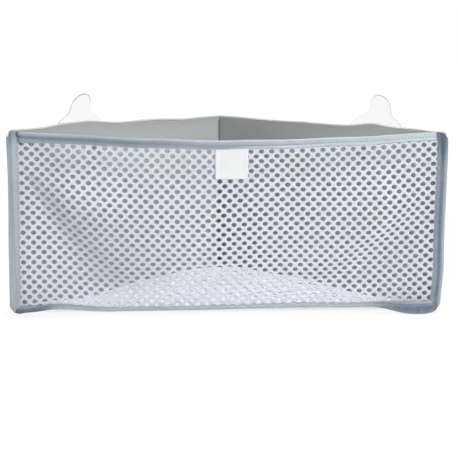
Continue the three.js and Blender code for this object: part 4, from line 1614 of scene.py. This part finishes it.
class CupMaker(bpy.types.Operator):
    """Mould the clear suction cups with their pull tabs"""

    bl_idname = "organizer.cups"
    bl_label = "Suction cups"

    def tab_reach(self, angles):
        """Outline of the cup by angle from its top: a round rim and a rounded tab with a soft root."""
        c = cup()
        angles = np.mod(angles, TURN)
        turn = np.abs(np.where(angles > math.pi, angles - TURN, angles))
        centre = c.tab_reach - c.tab_half
        inside = np.maximum(c.tab_half**2 - (centre * np.sin(turn)) ** 2, 0.0)
        end = centre * np.cos(turn) + np.sqrt(inside)
        sides = c.tab_half / np.maximum(np.sin(turn), 1e-3)
        tab = np.where((centre * np.sin(turn) < c.tab_half) & (turn < 1.0), end, np.minimum(sides, end))
        tab = np.where(turn < 1.2, tab, 0.0)
        soft = 0.007
        near = np.maximum(soft - np.abs(tab - c.rim), 0.0) / soft
        return np.maximum(tab, c.rim) + near * near * soft / 4.0

    def execute(self, context):
        c = cup()
        head_face = -c.gap - 1.5 * c.wall - c.gap
        boss_face = bag().panel_thickness + c.gap + c.wall + c.gap
        lip = boss_face + c.height
        hollow_rim = c.rim - c.lip
        neck = c.bore - c.gap
        crown = c.height - c.hollow

        def hollow_at(radius):
            return lip - c.hollow * (1.0 - (radius / hollow_rim) ** 2)

        def back_at(radius):
            share = (radius - c.boss) / (c.rim - c.boss)
            return hollow_at(radius) - c.lip_thickness - (crown / 2 - c.lip_thickness) * (1.0 - share)

        top = head_face - c.head_thickness
        head = [(0.0002, top), (0.4 * c.head, top + 0.0001), (0.72 * c.head, top + 0.0006)]
        head += [(0.92 * c.head, top + 0.0014), (c.head, top + 0.0022), (0.95 * c.head, head_face - 0.0003)]
        head += [(0.85 * c.head, head_face), (neck + 0.0004, head_face), (neck, head_face + 0.0004)]
        boss = [(neck, boss_face - 0.0005), (neck + 0.0006, boss_face), (c.boss - 0.0008, boss_face)]
        boss += [(c.boss, boss_face + 0.0007)]
        for radius in np.linspace(c.boss + 0.001, hollow_rim, 9):
            boss.append((radius, max(boss_face + 0.0009, back_at(radius))))
        edge = lip - c.lip_thickness
        rim = [(c.rim - 0.0018, edge + 0.0001, 0.35), (c.rim - 0.0007, edge + 0.00015, 0.8)]
        rim += [(c.rim - 0.0004, edge + 0.0002, 0.94), (c.rim - 0.0001, edge + 0.0003, 1.0)]
        rim += [(c.rim, lip - 0.0003, 1.0), (c.rim - 0.0004, lip - 0.0001, 0.94)]
        rim += [(c.rim - 0.0007, lip, 0.8), (c.rim - 0.0016, lip, 0.4)]
        hollow = [(radius, hollow_at(radius), 0.0) for radius in np.linspace(hollow_rim, 0.0004, 11)]
        profile = [(radius, out, 0.0) for radius, out in head + boss] + rim + hollow
        for name, side in SIDES.items():
            shell = Shell()
            lean = of_side(side, c.left_lean, c.right_lean)
            bend = of_side(side, c.left_bend, c.right_bend)
            turned(shell, side, profile, CUP_STEPS, lambda angles: self.tab_reach(angles + lean), bend)
            piece = shell.made(name + "_cup_body", clear_vinyl, sharp=70.0)
            rides(piece, name + "_cup", "clear", name + "_suction_cup")
        return {"FINISHED"}


# Sewing


def stitch_tree():
    """Lays a stitch at each step of a path."""
    inputs = {"Path": "Object", "Step": "Float", "Reach": "Float", "Thread": "Float", "Finish": "Material"}
    sheet, given = tree_with("sewing", inputs)
    path = sheet.make("GeometryNodeObjectInfo", {}, {"Object": given["Path"]}, "Geometry")
    steps = {"Curve": path, "Length": given["Step"]}
    spaced = sheet.make("GeometryNodeResampleCurve", {"mode": "LENGTH"}, steps)
    ball = sheet.make("GeometryNodeMeshUVSphere", {}, {"Segments": 6, "Rings": 5, "Radius": 1.0}, "Mesh")
    sizes = {"X": given["Thread"], "Y": given["Thread"], "Z": given["Reach"]}
    scale = sheet.make("ShaderNodeCombineXYZ", {}, sizes)
    thread = sheet.make("GeometryNodeTransform", {}, {"Geometry": ball, "Scale": scale})
    tangent = sheet.make("GeometryNodeInputTangent")
    turn = sheet.make("FunctionNodeAlignRotationToVector", {"axis": "Z"}, {"Vector": tangent})
    placing = {"Points": spaced, "Instance": thread, "Rotation": turn}
    laid = sheet.make("GeometryNodeInstanceOnPoints", {}, placing)
    smooth = sheet.make("GeometryNodeSetShadeSmooth", {}, {"Geometry": laid})
    ended = sheet.make("GeometryNodeRealizeInstances", {}, {"Geometry": smooth})
    dressed = sheet.make("GeometryNodeSetMaterial", {}, {"Geometry": ended, "Material": given["Finish"]})
    sheet.make("NodeGroupOutput", {}, {"Geometry": dressed})
    return sheet.tree


def seam(stations, across, up):
    """A seam at an offset across and up from the stations of a tape."""
    origins, right, high = stations
    return origins + right * across + high * up


class StitchMaker(bpy.types.Operator):
    """Sew the seams along the tapes and the hems"""

    bl_idname = "organizer.stitching"
    bl_label = "Stitching"

    def sewn(self, name, runs, make=sewing_thread):
        """Stitches along runs of points."""
        curve = bpy.data.curves.new(name + "_path", "CURVE")
        curve.dimensions = "3D"
        for run in runs:
            spline = curve.splines.new("POLY")
            spline.points.add(len(run) - 1)
            weighted = np.hstack([run, np.ones((len(run), 1))])
            spline.points.foreach_set("co", weighted.astype(np.float32).ravel())
        path = bpy.data.objects.new(name + "_path", curve)
        bpy.context.scene.collection.objects.link(path)
        s = stitch()
        values = {"Path": path, "Step": s.step, "Reach": s.reach, "Thread": s.thread}
        values |= {"Finish": finish_of(make)}
        return grown(name, stitch_tree(), values, make, (path,))

    def execute(self, context):
        b = bag()
        half = b.tape / 2
        rim, foot = rim_stations(), foot_stations()
        groove = rim_groove(np.linspace(0.0, 1.0, len(rim[0])))[:, None]
        proud = 0.00005
        runs = [seam(rim, half + proud - groove, -0.62 * b.rim_height)]
        runs += [seam(rim, -0.95 * half, -0.66 * b.rim_height)]
        inward = -0.82 * foot_widths(foot[0][:, 0])[:, None]
        runs += [seam(foot, sign * (0.46 * b.foot_tape), inward) for sign in (1, -1)]
        spans(self.sewn("front_stitches", runs), "tape")
        width = b.side_edge - b.side_mouth
        end = 0.002
        for name, side in SIDES.items():
            sides, base, hem = side_stations(side), base_stations(side), hem_stations(side)
            runs = [seam(sides, 0.85 * half, -0.88 * width)[2:-3]]
            runs += [seam(sides, -1.05 * half, -0.85 * width)[2:-3]]
            runs += [seam(base, sign * (0.93 * half), -0.82 * b.base_tape) for sign in (1, -1)]
            z = np.linspace(b.foot + end, b.top - b.hem - end, CORNER_STEPS)
            out = b.panel_thickness + CORNER_GAP + CLOTH + 0.00015
            runs.append(panel_point(side, np.full_like(z, 0.0095), np.full_like(z, out), z))
            rides(self.sewn(name + "_stitches", runs), name + "_side", "tape")
            hem_half = (b.panel_thickness + b.hem_stand) / 2
            runs = [seam(hem, sign * (0.92 * hem_half), -0.8 * b.hem)[3:-3] for sign in (1, -1)]
            rides(self.sewn(name + "_hem_stitches", runs, hem_thread), name + "_side", "cover")
        return {"FINISHED"}


# Stage

# Each lamp's place, aim, size and power
LAMPS = {
    "key": ((1.25, -1.80, 0.86), (0.0, -0.05, 0.08), 1.1, 31.0),
    "overhead": ((0.12, 0.02, 2.0), (0.0, 0.0, 0.05), 0.5, 33.0),
    "fill": ((-1.95, -0.55, 0.25), (0.0, -0.05, 0.10), 0.8, 12.0),
}
AMBIENT, AMBIENT_RIGHT = 0.23, 0.04  # strength of the world's light, and how much more from the right
FLOOR_REACH, FLOOR_HEIGHT = 4.0, -0.0004
CAMERA_PLACE = (-0.0617, -1.1771, 0.2647)
CAMERA_TURN = (80.047, -0.279, -3.2035)  # degrees
CAMERA_LENS, CAMERA_SENSOR = 101.74, 36.0  # millimetres


class StageMaker(bpy.types.Operator):
    """Set the floor, the lights and the camera"""

    bl_idname = "organizer.stage"
    bl_label = "Stage"

    def lamp(self, name, place, aim, size, power):
        """A round soft lamp, turned to its aim."""
        light = bpy.data.lights.new(name, "AREA")
        light.shape = "DISK"
        light.size = size
        light.energy = power
        lamp = bpy.data.objects.new(name, light)
        lamp.location = place
        direction = np.array(aim) - np.array(place)
        lamp.rotation_euler = (
            math.atan2(math.hypot(direction[0], direction[1]), -direction[2]),
            0.0,
            math.atan2(direction[1], direction[0]) - math.pi / 2,
        )
        bpy.context.scene.collection.objects.link(lamp)

    def execute(self, context):
        scene = context.scene
        mesh = bpy.data.meshes.new("floor")
        signs = [(-1, -1), (1, -1), (1, 1), (-1, 1)]
        corners = [(x * FLOOR_REACH, y * FLOOR_REACH, FLOOR_HEIGHT) for x, y in signs]
        mesh.from_pydata(corners, [], [(0, 1, 2, 3)])
        floor = placed("floor", mesh, studio_floor)
        world = bpy.data.worlds.new("studio")
        world.use_nodes = True
        sheet = NodeSheet(world.node_tree)
        sheet.tree.nodes.clear()
        toward = sheet.make("ShaderNodeTexCoord", {}, {}, "Generated")
        ambient = AMBIENT + AMBIENT_RIGHT * sheet.part(toward, "X")
        strength = ambient + (1.0 - ambient) * bright_rays(sheet)
        glow = sheet.make("ShaderNodeBackground", {}, {"Color": WHITE, "Strength": strength})
        sheet.make("ShaderNodeOutputWorld", {}, {"Surface": glow})
        scene.world = world
        for name, lamp in LAMPS.items():
            self.lamp(name, *lamp)
        lens = bpy.data.cameras.new("camera")
        lens.lens = CAMERA_LENS
        lens.sensor_width = CAMERA_SENSOR
        camera = bpy.data.objects.new("camera", lens)
        camera.location = CAMERA_PLACE
        camera.rotation_euler = [math.radians(turn) for turn in CAMERA_TURN]
        scene.collection.objects.link(camera)
        scene.camera = camera
        scene.view_settings.view_transform = "Standard"
        return {"FINISHED"}


MAKERS = (
    PanelMaker,
    EdgeMaker,
    FrontNetMaker,
    BaseNetMaker,
    PatchMaker,
    EyeletMaker,
    CupMaker,
    StitchMaker,
    StageMaker,
)


class OrganizerPanel(bpy.types.Panel):
    """Lists the makers of the organizer's pieces"""

    bl_idname = "VIEW3D_PT_organizer"
    bl_label = "Bath toy organizer"
    bl_space_type = "VIEW_3D"
    bl_region_type = "UI"
    bl_category = "Organizer"

    def draw(self, context):
        for maker in MAKERS:
            self.layout.operator(maker.bl_idname)


SIZES = {
    "bag_sizes": BagSizes,
    "net_sizes": NetSizes,
    "stitch_sizes": StitchSizes,
    "cup_sizes": CupSizes,
    "bag_colours": Colours,
}


def register():
    for group in SIZES.values():
        bpy.utils.register_class(group)
    for item in (*MAKERS, OrganizerPanel):
        bpy.utils.register_class(item)
    for name, group in SIZES.items():
        setattr(bpy.types.Scene, name, PointerProperty(type=group))


def unregister():
    for name in SIZES:
        delattr(bpy.types.Scene, name)
    for item in (OrganizerPanel, *reversed(MAKERS), *SIZES.values()):
        bpy.utils.unregister_class(item)


def main():
    register()
    bpy.ops.organizer.panels()
    bpy.ops.organizer.bound_edges()
    bpy.ops.organizer.front_net()
    bpy.ops.organizer.base_net()
    bpy.ops.organizer.patch()
    bpy.ops.organizer.eyelets()
    bpy.ops.organizer.cups()
    bpy.ops.organizer.stitching()
    bpy.ops.organizer.stage()


if __name__ == "__main__":
    main()
